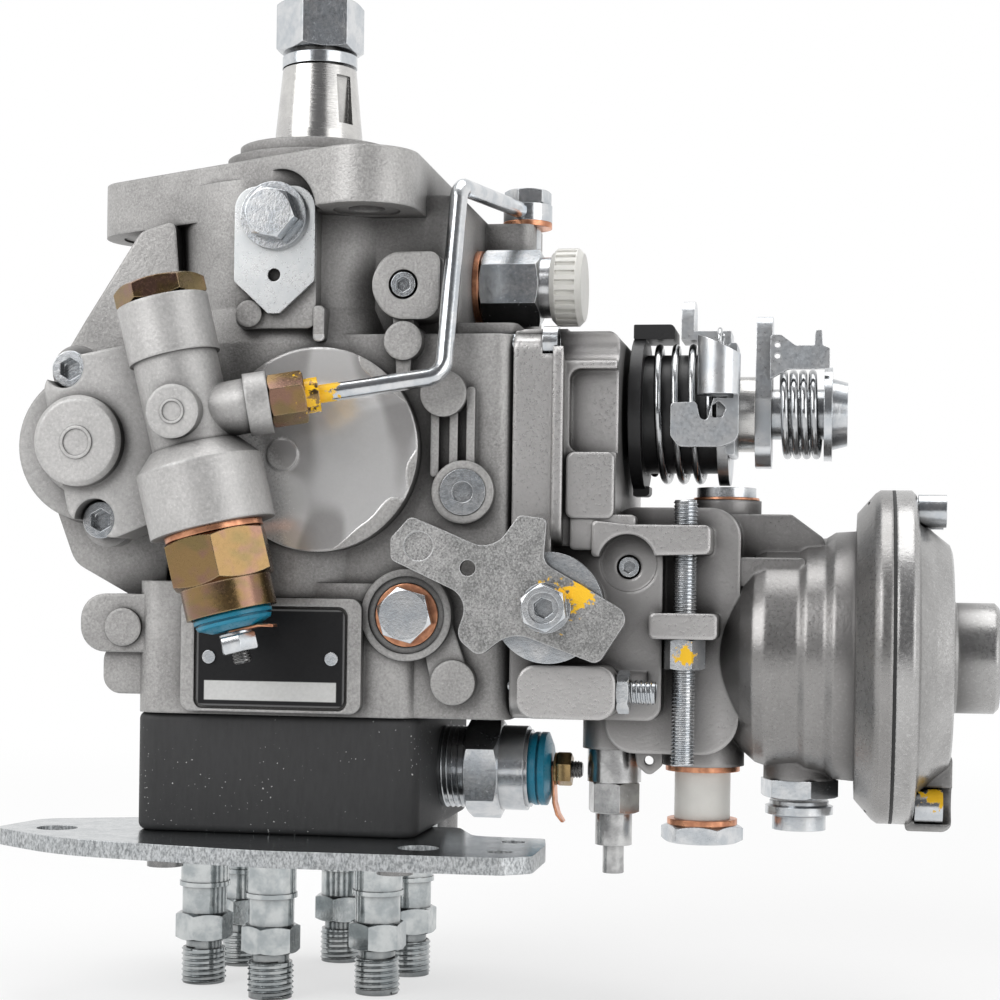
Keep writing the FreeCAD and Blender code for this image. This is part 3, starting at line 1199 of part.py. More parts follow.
def return_and_nipple():
    """Return bolt with its sleeve and washers, boost nipple and the plug above."""
    x = return_x
    levels = [return_seat]
    for height in (washer_height, return_sleeve_height, washer_height):
        levels.append(levels[-1] - height)
    washers.append(tube(return_washer_r, 5.1, (x, 0, levels[0]), (x, 0, levels[1])))
    washers.append(tube(return_washer_r - 0.6, 5.1, (x, 0, levels[2]), (x, 0, levels[3])))
    save("return_sleeve", tube(return_sleeve_r, 5.0 + seat_gap, (x, 0, levels[1]), (x, 0, levels[2])))
    bolt = fused(rod(5.0, (x, 0, return_seat + 12), (x, 0, levels[3])),
                 hexagon(return_flats, (x, 0, levels[3]), (x, 0, levels[3] - 5.0), 4))
    x = nipple_x
    profile = ((0, 0), (6.0, 0), (6.0, 12.0), (11.3, 12.0), (11.3, 16.8), (8.2, 17.2), (8.2, 19.0), (9.4, 19.4),
               (9.4, 21.6), (7.4, 22.2), (7.4, 26.0), (0, 26.0))
    nipple = turned(profile, (x, 0, nipple_seat + 12), (0, 0, -1))
    nipple = nipple.common(fused(hexagon(19.0, (x, 0, nipple_seat + 13), (x, 0, nipple_seat - 5.4), 12),
                                 rod(9.6, (x, 0, nipple_seat - 6), (x, 0, nipple_seat - 20))))
    nipple = nipple.cut(rod(3.0, (x, 0, nipple_seat - 18), (x, 0, nipple_seat + 2)))
    seat = plug_boss_top
    plugs.append(fused(rod(8.3, (plug_boss_x, 0, seat), (plug_boss_x, 0, seat + 3.6)),
                       rod(6.0, (plug_boss_x, 0, seat - 10.8), (plug_boss_x, 0, seat))))
    save("return_bolt", bolt)
    save("boost_nipple", nipple)


def drive_parts():
    """Drive shaft and the pieces that turn with it."""
    taper_top = taper_base + taper_length
    tip_r = journal_r - taper_length * taper_per_side
    profile = ((0, gear_bottom), (journal_r, gear_bottom), (journal_r, taper_base), (tip_r, taper_top),
               (thread_r, taper_top), (thread_r, taper_top + thread_length - 0.8),
               (thread_r - 0.8, taper_top + thread_length), (0, taper_top + thread_length))
    shaft = turned(profile, (0, 0, 0), (0, 0, 1))
    key = block((journal_r - key_depth, journal_r + 2), (-key_width / 2, key_width / 2),
                (taper_base + 2, taper_base + 2 + key_length))
    key.rotate(Vec(0, 0, 0), Vec(0, 0, 1), key_turn - 90)
    claws = []
    for side in (-1, 1):
        claws.append(block((-claw_half_width, claw_half_width), (side * claw_inner_r, side * (claw_outer_r - 1)),
                           (disc_bottom, gear_bottom + 1)))
    save("drive_shaft", fused(shaft.cut(key), *claws))
    nut_base = taper_top + nut_lift
    nut = hexagon(nut_flats, (0, 0, nut_base), (0, 0, nut_base + nut_height), 30 - 9)
    nut = nut.cut(rod(thread_r + seat_gap, (0, 0, nut_base - 1), (0, 0, nut_base + nut_height + 1)))
    inner = thread_r + 0.4
    middle = (inner + lock_ring_r) / 2
    helix = Part.makeHelix(lock_ring_rise, lock_ring_rise * 0.97, middle)
    half = (lock_ring_r - inner) / 2
    corners = [Vec(middle - half, 0, 0), Vec(middle + half, 0, 0), Vec(middle + half, 0, lock_ring_wire),
               Vec(middle - half, 0, lock_ring_wire), Vec(middle - half, 0, 0)]
    ring = Part.Wire(helix).makePipeShell([Part.makePolygon(corners)], True, True)
    ring.rotate(Vec(0, 0, 0), Vec(0, 0, 1), 170)
    ring.translate(Vec(0, 0, taper_top + 0.15))
    save("shaft_nut", nut, ring)


def vane_pump():
    """Eccentric ring, cover plate and rotor of the transfer pump."""
    top = -pump_pocket - face_gap
    outer = cam_bore_r - seat_gap
    hole = rod(ring_bore_r, (rotor_offset, 0, pump_floor - 1), (rotor_offset, 0, top + 1))
    ring = rod(outer, (0, 0, pump_floor), (0, 0, top)).cut(hole)
    cover = tube(outer, journal_r + 0.5, (0, 0, pump_cover_floor), (0, 0, pump_floor - 0.02))
    cover = cover.cut(rod(governor_pin_r + seat_gap, (governor_x, 0, -60), (governor_x, 0, -20)))
    save("vane_pump_ring", ring, cover)
    low = pump_floor + face_gap
    rotor = tube(rotor_r, journal_r + seat_gap, (0, 0, low), (0, 0, top - face_gap))
    slot = block((journal_r + 1.4, rotor_r + 1), (-vane_thickness / 2, vane_thickness / 2), (low - 1, top + 1))
    vane = block((journal_r + 1.6, rotor_r - 0.2), (-vane_thickness / 2 + 0.03, vane_thickness / 2 - 0.03),
                 (low, top - face_gap))
    rotor = without(rotor, *around(slot, vane_count, start=45.0))
    save("vane_rotor", rotor, *around(vane, vane_count, start=45.0))


def spur_gear(teeth, low, high, centre_x, phase):
    """Straight toothed wheel with tapered teeth."""
    pitch_r = gear_module * teeth / 2
    root = pitch_r - gear_module * 1.2
    tip = pitch_r + gear_module * 0.9
    half = math.pi / (2 * teeth)
    play = tooth_play / pitch_r
    points = []
    for i in range(teeth):
        middle = 2 * math.pi * i / teeth + phase
        for r, w in ((root, half * 1.55), (pitch_r, half - play), (tip, half * 0.45)):
            points.append((r, middle - w))
        for r, w in ((tip, half * 0.45), (pitch_r, half - play), (root, half * 1.55)):
            points.append((r, middle + w))
    corners = [Vec(centre_x + r * math.cos(a), r * math.sin(a), low) for r, a in points]
    return Part.Face(Part.makePolygon(corners + [corners[0]])).extrude(Vec(0, 0, high - low))


def governor_parts():
    """Drive gear, flyweight cage, weights, sleeve, pins and lever."""
    drive = spur_gear(drive_teeth, gear_bottom, gear_top, 0, 0)
    windows = around(rod(5.0, (21, 0, gear_bottom - 1), (21, 0, gear_top + 1)), 4, start=45.0)
    save("drive_gear", without(drive, rod(journal_r + seat_gap, (0, 0, gear_bottom - 1), (0, 0, gear_top + 1)),
                               *windows))
    x = governor_x
    bore = governor_pin_r + running_gap
    phase = math.pi + math.pi / governor_teeth
    wheel = spur_gear(governor_teeth, gear_bottom, gear_top, x, phase)
    can = rod(cage_r, (x, 0, cage_bottom), (x, 0, gear_bottom))
    hollow = rod(cage_r - cage_wall, (x, 0, cage_bottom - 1), (x, 0, gear_bottom - 3))
    cage = fused(wheel, can.cut(hollow))
    window = block((x + 9, x + cage_r + 2), (-weight_width / 2, weight_width / 2), (cage_bottom + 3, gear_bottom - 3))
    cage = without(cage, rod(bore, (x, 0, cage_bottom - 1), (x, 0, gear_top + 1)),
                   *around(window, weight_count, (x, 0, 0), start=45.0))
    save("flyweight_cage", cage)
    low = sleeve_top + 0.4
    body = block((x + sleeve_r + 1.2, x + cage_r - cage_wall - 0.6), (-weight_width / 2 + 0.6, weight_width / 2 - 0.6),
                 (low, gear_bottom - 3 - face_gap))
    outer = block((x + cage_r - cage_wall - 1, x + cage_r - 0.5), (-weight_width / 2 + 0.6, weight_width / 2 - 0.6),
                  (low + 1.5, gear_bottom - 3 - face_gap))
    weight = fused(body, outer)
    save("flyweights", *around(weight, weight_count, (x, 0, 0), start=45.0))
    nose = Part.makeSphere(sleeve_nose_r, Vec(x, 0, sleeve_bottom + sleeve_nose_r))
    sleeve = fused(rod(sleeve_flange_r, (x, 0, sleeve_top), (x, 0, sleeve_top - 2.5)),
                   rod(sleeve_r, (x, 0, sleeve_top), (x, 0, sleeve_bottom + sleeve_nose_r)),
                   nose.common(rod(sleeve_r, (x, 0, sleeve_bottom - 1), (x, 0, sleeve_bottom + sleeve_nose_r))))
    save("governor_sleeve", sleeve.cut(rod(bore, (x, 0, sleeve_bottom + 3), (x, 0, sleeve_top + 1))))
    pin = rod(governor_pin_r, (x, 0, sleeve_bottom + 3 + sleeve_travel + 3.0), (x, 0, -48.5))
    pivot = rod(lever_pivot_r, (lever_pivot_x, -33, lever_pivot_z), (lever_pivot_x, 33, lever_pivot_z))
    save("governor_pins", pin, pivot)


def governor_lever():
    """Lever from the sleeve to the control sleeve."""
    top = sleeve_bottom - face_gap
    ball_z = control_sleeve_mid
    points = ((governor_x + 7, top), (governor_x - 7, top), (lever_pivot_x - 3, lever_pivot_z + 6),
              (lever_pivot_x - 7, lever_pivot_z + 3), (15, ball_z + 2.4), (15, ball_z - 2.4),
              (lever_pivot_x - 5, lever_pivot_z - 6), (lever_pivot_x + 5, lever_pivot_z - 6),
              (governor_x + 7, top - 3.4))
    body = plate(points, (1, 2, 3, 4, 1.5, 1.5, 3, 5, 1), "xz", -lever_width / 2, lever_width / 2)
    arm = rod(lever_ball_r - 1.0, (lever_ball_x, 0, ball_z), (17, 0, ball_z))
    ball = Part.makeSphere(lever_ball_r, Vec(lever_ball_x, 0, ball_z))
    bore = rod(lever_pivot_r + running_gap, (lever_pivot_x, -20, lever_pivot_z), (lever_pivot_x, 20, lever_pivot_z))
    save("governor_lever", fused(body, arm, ball).cut(bore))


def cam_parts():
    """Roller ring, cam plate, plunger, control sleeve and springs."""
    ring = tube(ring_r, roller_ring_bore_r, (0, 0, ring_bottom), (0, 0, ring_top))
    half = roller_length / 2
    inner_x = roller_circle_r - half
    outer_x = roller_circle_r + half
    pocket = fused(rod(roller_r + 0.3, (inner_x - 0.4, 0, roller_z), (outer_x + 0.4, 0, roller_z)),
                   block((inner_x - 0.4, outer_x + 0.4), (-roller_r - 0.3, roller_r + 0.3), (ring_bottom - 1, roller_z)))
    roller = rod(roller_r, (inner_x, 0, roller_z), (outer_x, 0, roller_z))
    turns = (0.0, 60.0, 180.0, 240.0)
    rollers = []
    for turn in turns:
        cut = pocket.copy()
        cut.rotate(Vec(0, 0, 0), Vec(0, 0, 1), turn)
        ring = ring.cut(cut)
        piece = roller.copy()
        piece.rotate(Vec(0, 0, 0), Vec(0, 0, 1), turn)
        rollers.append(piece)
    pin = fused(rod(timing_pin_r, (-ring_r + 1.5, 0, timing_z), (timing_x, 0, timing_z)),
                Part.makeSphere(timing_ball_r, Vec(timing_x, 0, timing_z)))
    save("roller_ring", fused(ring, pin), *rollers)
    disc = rod(cam_plate_r, (0, 0, cam_floor), (0, 0, cam_valley))
    ramp = plate(((-11.5, cam_valley - 0.5), (11.5, cam_valley - 0.5), (3.5, cam_peak), (-3.5, cam_peak)), 0.8, "yz",
                 roller_ring_bore_r + 1, cam_plate_r + 3)
    track = tube(cam_plate_r, roller_ring_bore_r + 1.5, (0, 0, cam_valley - 1), (0, 0, cam_peak + 1))
    lobes = []
    for lobe in around(ramp, cam_lobes):
        lobes.append(lobe.common(track))
    claws = []
    for side in (-1, 1):
        claws.append(block((side * claw_inner_r, side * (claw_outer_r - 1)), (-claw_half_width, claw_half_width),
                           (cam_valley - 1, disc_top)))
    stem = rod(claw_outer_r, (0, 0, cam_valley - 1), (0, 0, disc_bottom - 1.5))
    plate_body = fused(disc, *lobes, stem, *claws)
    coupling = rod(coupling_disc_r, (0, 0, disc_bottom + face_gap), (0, 0, disc_top - face_gap))
    slot_half = claw_half_width + running_gap
    slot_reach = coupling_disc_r + 1
    coupling = without(coupling, block((-slot_half, slot_half), (claw_inner_r - 0.1, slot_reach), (-200, 0)),
                       block((-slot_half, slot_half), (-claw_inner_r + 0.1, -slot_reach), (-200, 0)),
                       block((claw_inner_r - 0.1, slot_reach), (-slot_half, slot_half), (-200, 0)),
                       block((-claw_inner_r + 0.1, -slot_reach), (-slot_half, slot_half), (-200, 0)))
    save("cam_plate", plate_body, coupling)
    tip = -housing_length - 21
    plunger = fused(rod(plunger_r, (0, 0, tip), (0, 0, cam_floor - face_gap)),
                    rod(plunger_foot_r, (0, 0, foot_bottom), (0, 0, cam_floor - face_gap)))
    save("plunger", plunger)
    z = control_sleeve_mid
    half = control_sleeve_height / 2
    sleeve = tube(control_sleeve_r, plunger_r + running_gap, (0, 0, z - half), (0, 0, z + half))
    pocket = rod(lever_ball_r + moving_gap, (lever_ball_x - lever_ball_r - 0.6, 0, z), (control_sleeve_r + 1, 0, z))
    save("control_sleeve", sleeve.cut(pocket))
    spread = plunger_spring_offset
    bridge = plate(rectangle((-11, 11), (-spread - 8.5, spread + 8.5)), 6, "xy", bridge_bottom, bridge_top)
    bridge = bridge.cut(rod(plunger_r + 1.0, (0, 0, bridge_bottom - 1), (0, 0, bridge_top + 1)))
    solids = [bridge]
    spring_end = -housing_length + head_spigot_height + plunger_spring_wire + 0.05
    spring_start = bridge_bottom - plunger_spring_wire - 0.05
    for side in (-1, 1):
        solids.append(coil(plunger_spring_r, plunger_spring_wire, (spring_start - spring_end) / 5.0, 5.0,
                           (0, side * spread, spring_end), (0, 0, 1)))
    save("plunger_springs", *solids)


def timing_parts():
    """Timing piston and its spring."""
    x, z = timing_x, timing_z
    low, high = -piston_half_length, piston_half_length
    body = rod(timing_r, (x, low, z), (x, high, z))
    cuts = [rod(timing_ball_r + moving_gap, (x - timing_ball_r - 1, 0, z), (x + 30, 0, z)),
            rod(timing_r - 3.5, (x, high - 9, z), (x, high + 1, z))]
    save("timing_piston", without(body, *cuts))
    start = high - 9 + 1.35
    length = timing_half_width + face_gap - 1.35 - start
    save("timing_spring", coil(7.5, 1.3, length / 5.0, 5.0, (x, start, z), (0, 1, 0)))


def shaft_seal_and_bush():
    """Lip seal and plain bush of the drive shaft."""
    floor = nose_height - seal_recess - seal_depth
    seal = tube(seal_pocket_r - seat_gap, journal_r + running_gap, (0, 0, floor), (0, 0, nose_height - seal_recess))
    groove = tube(seal_pocket_r - 2.0, journal_r + 1.6, (0, 0, nose_height - seal_recess - 2.2),
                  (0, 0, nose_height))
    save("shaft_seal", seal.cut(groove))
    top = floor - 2
    save("shaft_bush", tube(bush_r - seat_gap, journal_r + running_gap, (0, 0, top - bush_length), (0, 0, top)))


def main():
    """Build every node."""
    pump_housing()
    timing_cover()
    timing_end_cover()
    top_plug, cold_blue, cold_end, down = cold_start_parts()
    stop_blue, stop_end = stop_solenoid()
    save("terminal_insulators", cold_blue, stop_blue)
    save("terminals", terminal(tuple(cold_end), down, (0.95, -0.2, 0.2), 13.0),
         terminal(stop_end, Vec(1, 0, 0), (0.1, -0.35, -1.0), 12.0))
    pipe_nut = pipe_and_fittings()
    save("yellow_fittings", top_plug, pipe_nut)
    inlet()
    shaft_lock()
    name_plate()
    housing_plugs()
    distributor_head()
    head_fasteners()
    delivery_valves()
    rear_bracket()
    governor_cover()
    boost_parts()
    throttle_parts()
    stop_lever_parts()
    adjusting_screws()
    return_and_nipple()
    drive_parts()
    vane_pump()
    governor_parts()
    governor_lever()
    cam_parts()
    timing_parts()
    shaft_seal_and_bush()
    save("cover_screws", *screws)
    save("copper_washers", *washers)
    save("plugs", *plugs)
    save("return_springs", *return_springs)


main()
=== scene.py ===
"""Looks of a distributor type diesel injection pump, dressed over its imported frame."""
import logging
import math
from dataclasses import dataclass, field
from enum import Enum
from typing import Any, Dict, List, Optional, Sequence, Tuple

import bpy
from mathutils import Matrix, Vector


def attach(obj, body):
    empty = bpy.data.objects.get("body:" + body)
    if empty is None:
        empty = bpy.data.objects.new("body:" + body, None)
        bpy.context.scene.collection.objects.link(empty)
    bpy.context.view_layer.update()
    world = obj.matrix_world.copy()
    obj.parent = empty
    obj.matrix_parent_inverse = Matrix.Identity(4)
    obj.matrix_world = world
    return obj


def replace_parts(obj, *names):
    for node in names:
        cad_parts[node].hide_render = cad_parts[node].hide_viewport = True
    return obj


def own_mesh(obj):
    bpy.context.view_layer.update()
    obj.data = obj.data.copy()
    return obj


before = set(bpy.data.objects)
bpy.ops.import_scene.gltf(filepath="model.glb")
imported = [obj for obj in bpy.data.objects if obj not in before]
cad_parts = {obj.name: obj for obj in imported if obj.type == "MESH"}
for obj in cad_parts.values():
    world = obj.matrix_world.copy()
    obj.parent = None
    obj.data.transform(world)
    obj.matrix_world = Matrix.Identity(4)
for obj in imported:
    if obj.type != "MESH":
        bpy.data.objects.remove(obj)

log = logging.getLogger("pump")
MM = 0.001
Colour = Tuple[float, float, float]
Point = Tuple[float, float, float]

MARKING_PAINT: Colour = (0.86, 0.50, 0.01)
# Dark colour of the painted shade in the castings' corners and recesses.
CAST_RECESS_SHADE: Colour = (0.035, 0.033, 0.032)
# Dark colour of the painted shade in the plated parts' corners and recesses.
PLATED_RECESS_SHADE: Colour = (0.04, 0.04, 0.04)
# Colour of the plated parts' light edges, partly wear and partly painted highlight.
BRIGHT_EDGE: Colour = (0.90, 0.91, 0.92)
WHITE: Colour = (1.0, 1.0, 1.0)
SMOOTH_ANGLE = 38.0
WELD = 1e-6
STRIP_TAPER = 0.72
RIDGE_SIDES = 4


class Along(Enum):
    """Axis that a turned or wound piece lies on."""

    X = (1.0, 0.0, 0.0)
    Y = (0.0, 1.0, 0.0)
    Z = (0.0, 0.0, 1.0)


class Wire:
    """A shader socket that Python's operators work on."""

    def __init__(self, desk: "Desk", socket: bpy.types.NodeSocket) -> None:
        """Keep the socket with the desk that owns it."""
        self.desk = desk
        self.socket = socket

    def _math(self, operation: str, left: Any, right: Any = 0.0) -> "Wire":
        """Add one Math node.

        Args:
            operation: Name of the node's operation.
            left: First value or wire.
            right: Second value or wire.

        Returns:
            The node's result.
        """
        return self.desk.node("ShaderNodeMath", {"operation": operation}, {0: left, 1: right})

    def __add__(self, other: Any) -> "Wire":
        """Sum."""
        return self._math("ADD", self, other)

    def __radd__(self, other: Any) -> "Wire":
        """Sum, reflected."""
        return self._math("ADD", other, self)

    def __sub__(self, other: Any) -> "Wire":
        """Difference."""
        return self._math("SUBTRACT", self, other)

    def __rsub__(self, other: Any) -> "Wire":
        """Difference, reflected."""
        return self._math("SUBTRACT", other, self)

    def __mul__(self, other: Any) -> "Wire":
        """Product."""
        return self._math("MULTIPLY", self, other)

    def __truediv__(self, other: Any) -> "Wire":
        """Quotient."""
        return self._math("DIVIDE", self, other)

    def __pow__(self, other: Any) -> "Wire":
        """Power."""
        return self._math("POWER", self, other)

    def clipped(self) -> "Wire":
        """The value held between nought and one."""
        return self.desk.node("ShaderNodeClamp", {}, {"Value": self})

    def most(self, other: Any) -> "Wire":
        """The larger of two values."""
        return self._math("MAXIMUM", self, other)

    def swing(self, amount: float) -> "Wire":
        """How far the value is from a half, times an amount."""
        return (self - 0.5) * amount

    def size(self) -> "Wire":
        """The value without its sign."""
        return self._math("ABSOLUTE", self)

    def above(self, level: float, softness: float) -> "Wire":
        """A soft step.

        Args:
            level: Value at which the step is half way up.
            softness: Width of the step.

        Returns:
            Nought below the level and one above it.
        """
        limits = {"Value": self, "From Min": level - softness / 2, "From Max": level + softness / 2}
        return self.desk.node("ShaderNodeMapRange", {"interpolation_type": "SMOOTHSTEP", "clamp": True}, limits)


@dataclass(frozen=True)
class Splash:
    """A smear of marking paint, in millimetres."""

    centre: Point
    radius: float


class Desk:
    """The node tree of one material or of the world."""

    def __init__(self, tree: bpy.types.NodeTree) -> None:
        """Start from an empty tree."""
        self.tree = tree
        tree.nodes.clear()

    def node(self, kind: str, settings: Dict[str, Any], inputs: Dict[Any, Any], out: Any = 0) -> Wire:
        """Add any node.

        Args:
            kind: The node's type.
            settings: Properties to set before its sockets.
            inputs: Values or wires by socket name or number.
            out: Name or number of the socket to return.

        Returns:
            The wire that leaves the node.
        """
        made = self.tree.nodes.new(kind)
        for name, value in settings.items():
            setattr(made, name, value)
        for name, value in inputs.items():
            if isinstance(value, Wire):
                self.tree.links.new(value.socket, made.inputs[name])
            else:
                made.inputs[name].default_value = value
        return Wire(self, made.outputs[out]) if len(made.outputs) else Wire(self, None)

    def place(self) -> Wire:
        """Position in the row frame, in metres."""
        return self.node("ShaderNodeTexCoord", {}, {}, "Object")

    def parts(self, vector: Wire) -> Tuple[Wire, Wire, Wire]:
        """The three parts of a vector."""
        split = self.node("ShaderNodeSeparateXYZ", {}, {0: vector})
        return tuple(Wire(self, split.socket.node.outputs[i]) for i in range(3))

    def axes(self) -> Tuple[Wire, Wire, Wire]:
        """The three parts of the position."""
        return self.parts(self.place())

    def noise(self, size: float, detail: float = 2.0, rough: float = 0.5, stretch: Point = (1, 1, 1)) -> Wire:
        """Cloudy pattern.

        Args:
            size: Width of a cloud, in metres.
            detail: Number of finer layers.
            rough: Strength of the finer layers.
            stretch: How much the pattern is squeezed along each axis.

        Returns:
            Values round a half.
        """
        where = self.node("ShaderNodeVectorMath", {"operation": "MULTIPLY"}, {0: self.place(), 1: stretch})
        inputs = {"Vector": where, "Scale": 1.0 / size, "Detail": detail, "Roughness": rough}
        return self.node("ShaderNodeTexNoise", {}, inputs)

    def mix(self, amount: Any, first: Any, second: Any) -> Wire:
        """Blend two colours.

        Args:
            amount: Share of the second.
            first: Colour or wire.
            second: Colour or wire.

        Returns:
            The blended colour.
        """
        pair = [(*c, 1.0) if isinstance(c, tuple) else c for c in (first, second)]
        return self.node("ShaderNodeMix", {"data_type": "RGBA"}, {0: amount, 6: pair[0], 7: pair[1]}, 2)

    def rounded(self, radius: float) -> Wire:
        """Normal with every edge rounded by a radius in metres."""
        return self.node("ShaderNodeBevel", {"samples": 6}, {"Radius": radius})

    def edges(self, radius: float) -> Wire:
        """Find the places where an edge is rounded.

        Args:
            radius: Radius of the rounding, in metres.

        Returns:
            Nought on a flat, more on an edge.
        """
        flat = self.node("ShaderNodeNewGeometry", {}, {}, "Normal")
        dot = self.node("ShaderNodeVectorMath", {"operation": "DOT_PRODUCT"}, {0: self.rounded(radius), 1: flat},
                        "Value")
        return (1.0 - dot).clipped()

    def reach(self, distance: float, samples: int) -> Wire:
        """How open a point is to its surroundings.

        Args:
            distance: Range of the test, in metres.
            samples: Number of rays.

        Returns:
            One in the open, less in a corner.
        """
        return self.node("ShaderNodeAmbientOcclusion", {"samples": samples}, {"Distance": distance}, "AO")

    def rays(self) -> Tuple[Wire, Wire]:
        """Tell the rays that see the background.

        Returns:
            Mask of camera rays, and of camera, glossy and transmission rays together.
        """
        direct = self.node("ShaderNodeLightPath", {}, {}, "Is Camera Ray")
        outputs = direct.socket.node.outputs
        both = direct.most(Wire(self, outputs["Is Glossy Ray"])).most(Wire(self, outputs["Is Transmission Ray"]))
        return direct, both

    def bump(self, height: Wire, depth: float, normal: Optional[Wire] = None) -> Wire:
        """Relief that is added to a normal.

        Args:
            height: Height pattern from nought to one.
            depth: Height of the relief, in metres.
            normal: Normal to start from.

        Returns:
            The bumped normal.
        """
        inputs = {"Height": height, "Distance": depth, "Strength": 1.0}
        if normal is not None:
            inputs["Normal"] = normal
        return self.node("ShaderNodeBump", {}, inputs)

    def paint(self, splashes: Sequence[Splash]) -> Wire:
        """Ragged mask of all smears of paint.

        Args:
            splashes: The smears, at least one.

        Returns:
            One where the paint lies.
        """
        rag = self.noise(0.0022, 3.0, 0.6).swing(3.2)
        mask: Optional[Wire] = None
        for splash in splashes:
            inputs = {0: self.place(), 1: tuple(c * MM for c in splash.centre)}
            away = self.node("ShaderNodeVectorMath", {"operation": "DISTANCE"}, inputs, "Value")
            spot = 1.0 - (away / (splash.radius * MM) + rag).above(1.0, 0.25)
            mask = spot if mask is None else mask.most(spot)
        return mask

    def surface(self, **inputs: Any) -> None:
        """Finish the material with one Principled shader, its sockets given by name with _ for a space."""
        shader = self.node("ShaderNodeBsdfPrincipled", {}, {n.replace("_", " "): v for n, v in inputs.items()})
        self.node("ShaderNodeOutputMaterial", {}, {"Surface": shader})


@dataclass(frozen=True)
class Finish:
    """Any finish: a name and a way to fill its material."""

    name: str

    def make(self) -> bpy.types.Material:
        """Make the material on first use.

        Returns:
            The material.
        """
        found = bpy.data.materials.get(self.name)
        if found is None:
            found = bpy.data.materials.new(self.name)
            found.use_nodes = True
            self.fill(Desk(found.node_tree))
        return found

    def fill(self, desk: Desk) -> None:
        """Add the nodes of the finish."""
        raise NotImplementedError


@dataclass(frozen=True)
class CastMetal(Finish):
    """Light metal casting: grainy skin, soft corners, painted shade in its recesses, light edges that are partly wear
    and partly painted highlight, painted glints, a milled pad or a paler part.
    """

    light: Colour = (0.56, 0.55, 0.54)
    dark: Colour = (0.31, 0.30, 0.295)
    grain: float = 0.0007
    relief: float = 0.00018
    corner: float = 0.0011
    metal: float = 0.60
    gloss: float = 0.46
    # Strength of the painted shade in corners and recesses.
    shade: float = 0.95
    fleck: float = 1.5
    pale: Colour = (0.90, 0.88, 0.87)
    # Colour of the light edges, partly wear and partly painted highlight.
    wear_and_highlight_colour: Colour = (0.78, 0.78, 0.77)
    drag: Point = (1.0, 1.0, 1.0)
    pad_centre: Point = (0.0, 0.0, 0.0)
    pad_radius: float = 0.0
    pale_until: float = 0.0
    pale_share: float = 0.0

    def fill(self, desk: Desk) -> None:
        """Add the nodes of the finish.

        Args:
            desk: The material's node tree.
        """
        fine = desk.noise(self.grain, 3.0, 0.65)
        broad = desk.noise(0.018, 3.0, 0.55, self.drag)
        # Painted glints: bright specks in the colour stand in for sparkling highlights.
        painted_glint = desk.noise(self.grain * 0.9, 2.0, 0.6).above(0.63, 0.08)
        # Painted shade: ambient occlusion at two ranges darkens the colour in corners and recesses.
        near, wide = desk.reach(0.010, 8), desk.reach(0.045, 8)
        painted_shade = ((1.0 - near) * self.shade + (1.0 - wide) * self.shade * 0.55).clipped()
        tone = (broad.swing(1.1) + fine.swing(self.fleck) + 0.55).clipped()
        base = desk.mix(tone, self.dark, self.light)
        base = desk.mix(painted_glint * 0.22, base, tuple(min(1.0, c * 1.35) for c in self.light))
        if self.pale_share:
            inner = 1.0 - desk.axes()[0].above(self.pale_until * MM, 0.012)
            base = desk.mix(inner * self.pale_share, base, self.pale)
        # Light rounded edges: partly wear and partly painted highlight.
        wear_and_highlight = desk.edges(self.corner) * 2.2
        base = desk.mix(wear_and_highlight.clipped() * 0.35, base, self.wear_and_highlight_colour)
        # The painted shade is mixed into the colour here.
        base = desk.mix(painted_shade, base, CAST_RECESS_SHADE)
        rough = (self.gloss + fine.swing(0.25) + painted_shade * 0.3).clipped()
        height = fine * 0.7 + desk.noise(self.grain * 4.0) * 0.5
        if self.pad_radius:
            base, rough, height = self._milled(desk, base, rough, height)
        normal = desk.bump(height, self.relief, desk.rounded(self.corner))
        desk.surface(Base_Color=base, Roughness=rough, Metallic=self.metal, Normal=normal)

    def _milled(self, desk: Desk, base: Wire, rough: Wire, height: Wire) -> Tuple[Wire, Wire, Wire]:
        """Make the round pad smooth, with broad light and dark swirls in its colour, partly cutter marks and partly
        painted reflection.

        Args:
            desk: The material's node tree.
            base: Colour so far.
            rough: Roughness so far.
            height: Relief so far.

        Returns:
            Colour, roughness and relief with the milled pad.
        """
        x, y, z = desk.axes()
        across = x - self.pad_centre[0] * MM
        up = z - self.pad_centre[2] * MM
        away = (across * across + up * up) ** 0.5
        lobes = desk.noise(0.020, 1.0, 0.4).swing(0.022)
        pad = 1.0 - (away + lobes).above(self.pad_radius * MM, 0.0006)
        pad = pad * (1.0 - y.above(self.pad_centre[1] * MM, 0.0004))
        # The swirls' light and dark is partly cutter marks and partly painted reflection.
        cutter_marks_and_sheen = desk.noise(0.016, 1.0, 0.4, (1.0, 1.0, 0.6))
        smooth = desk.mix(cutter_marks_and_sheen.above(0.48, 0.10), (0.46, 0.45, 0.445), (0.80, 0.795, 0.79))
        base = desk.mix(pad * 0.85, base, smooth)
        return base, rough * (1.0 - pad * 0.55), height * (1.0 - pad * 0.9)


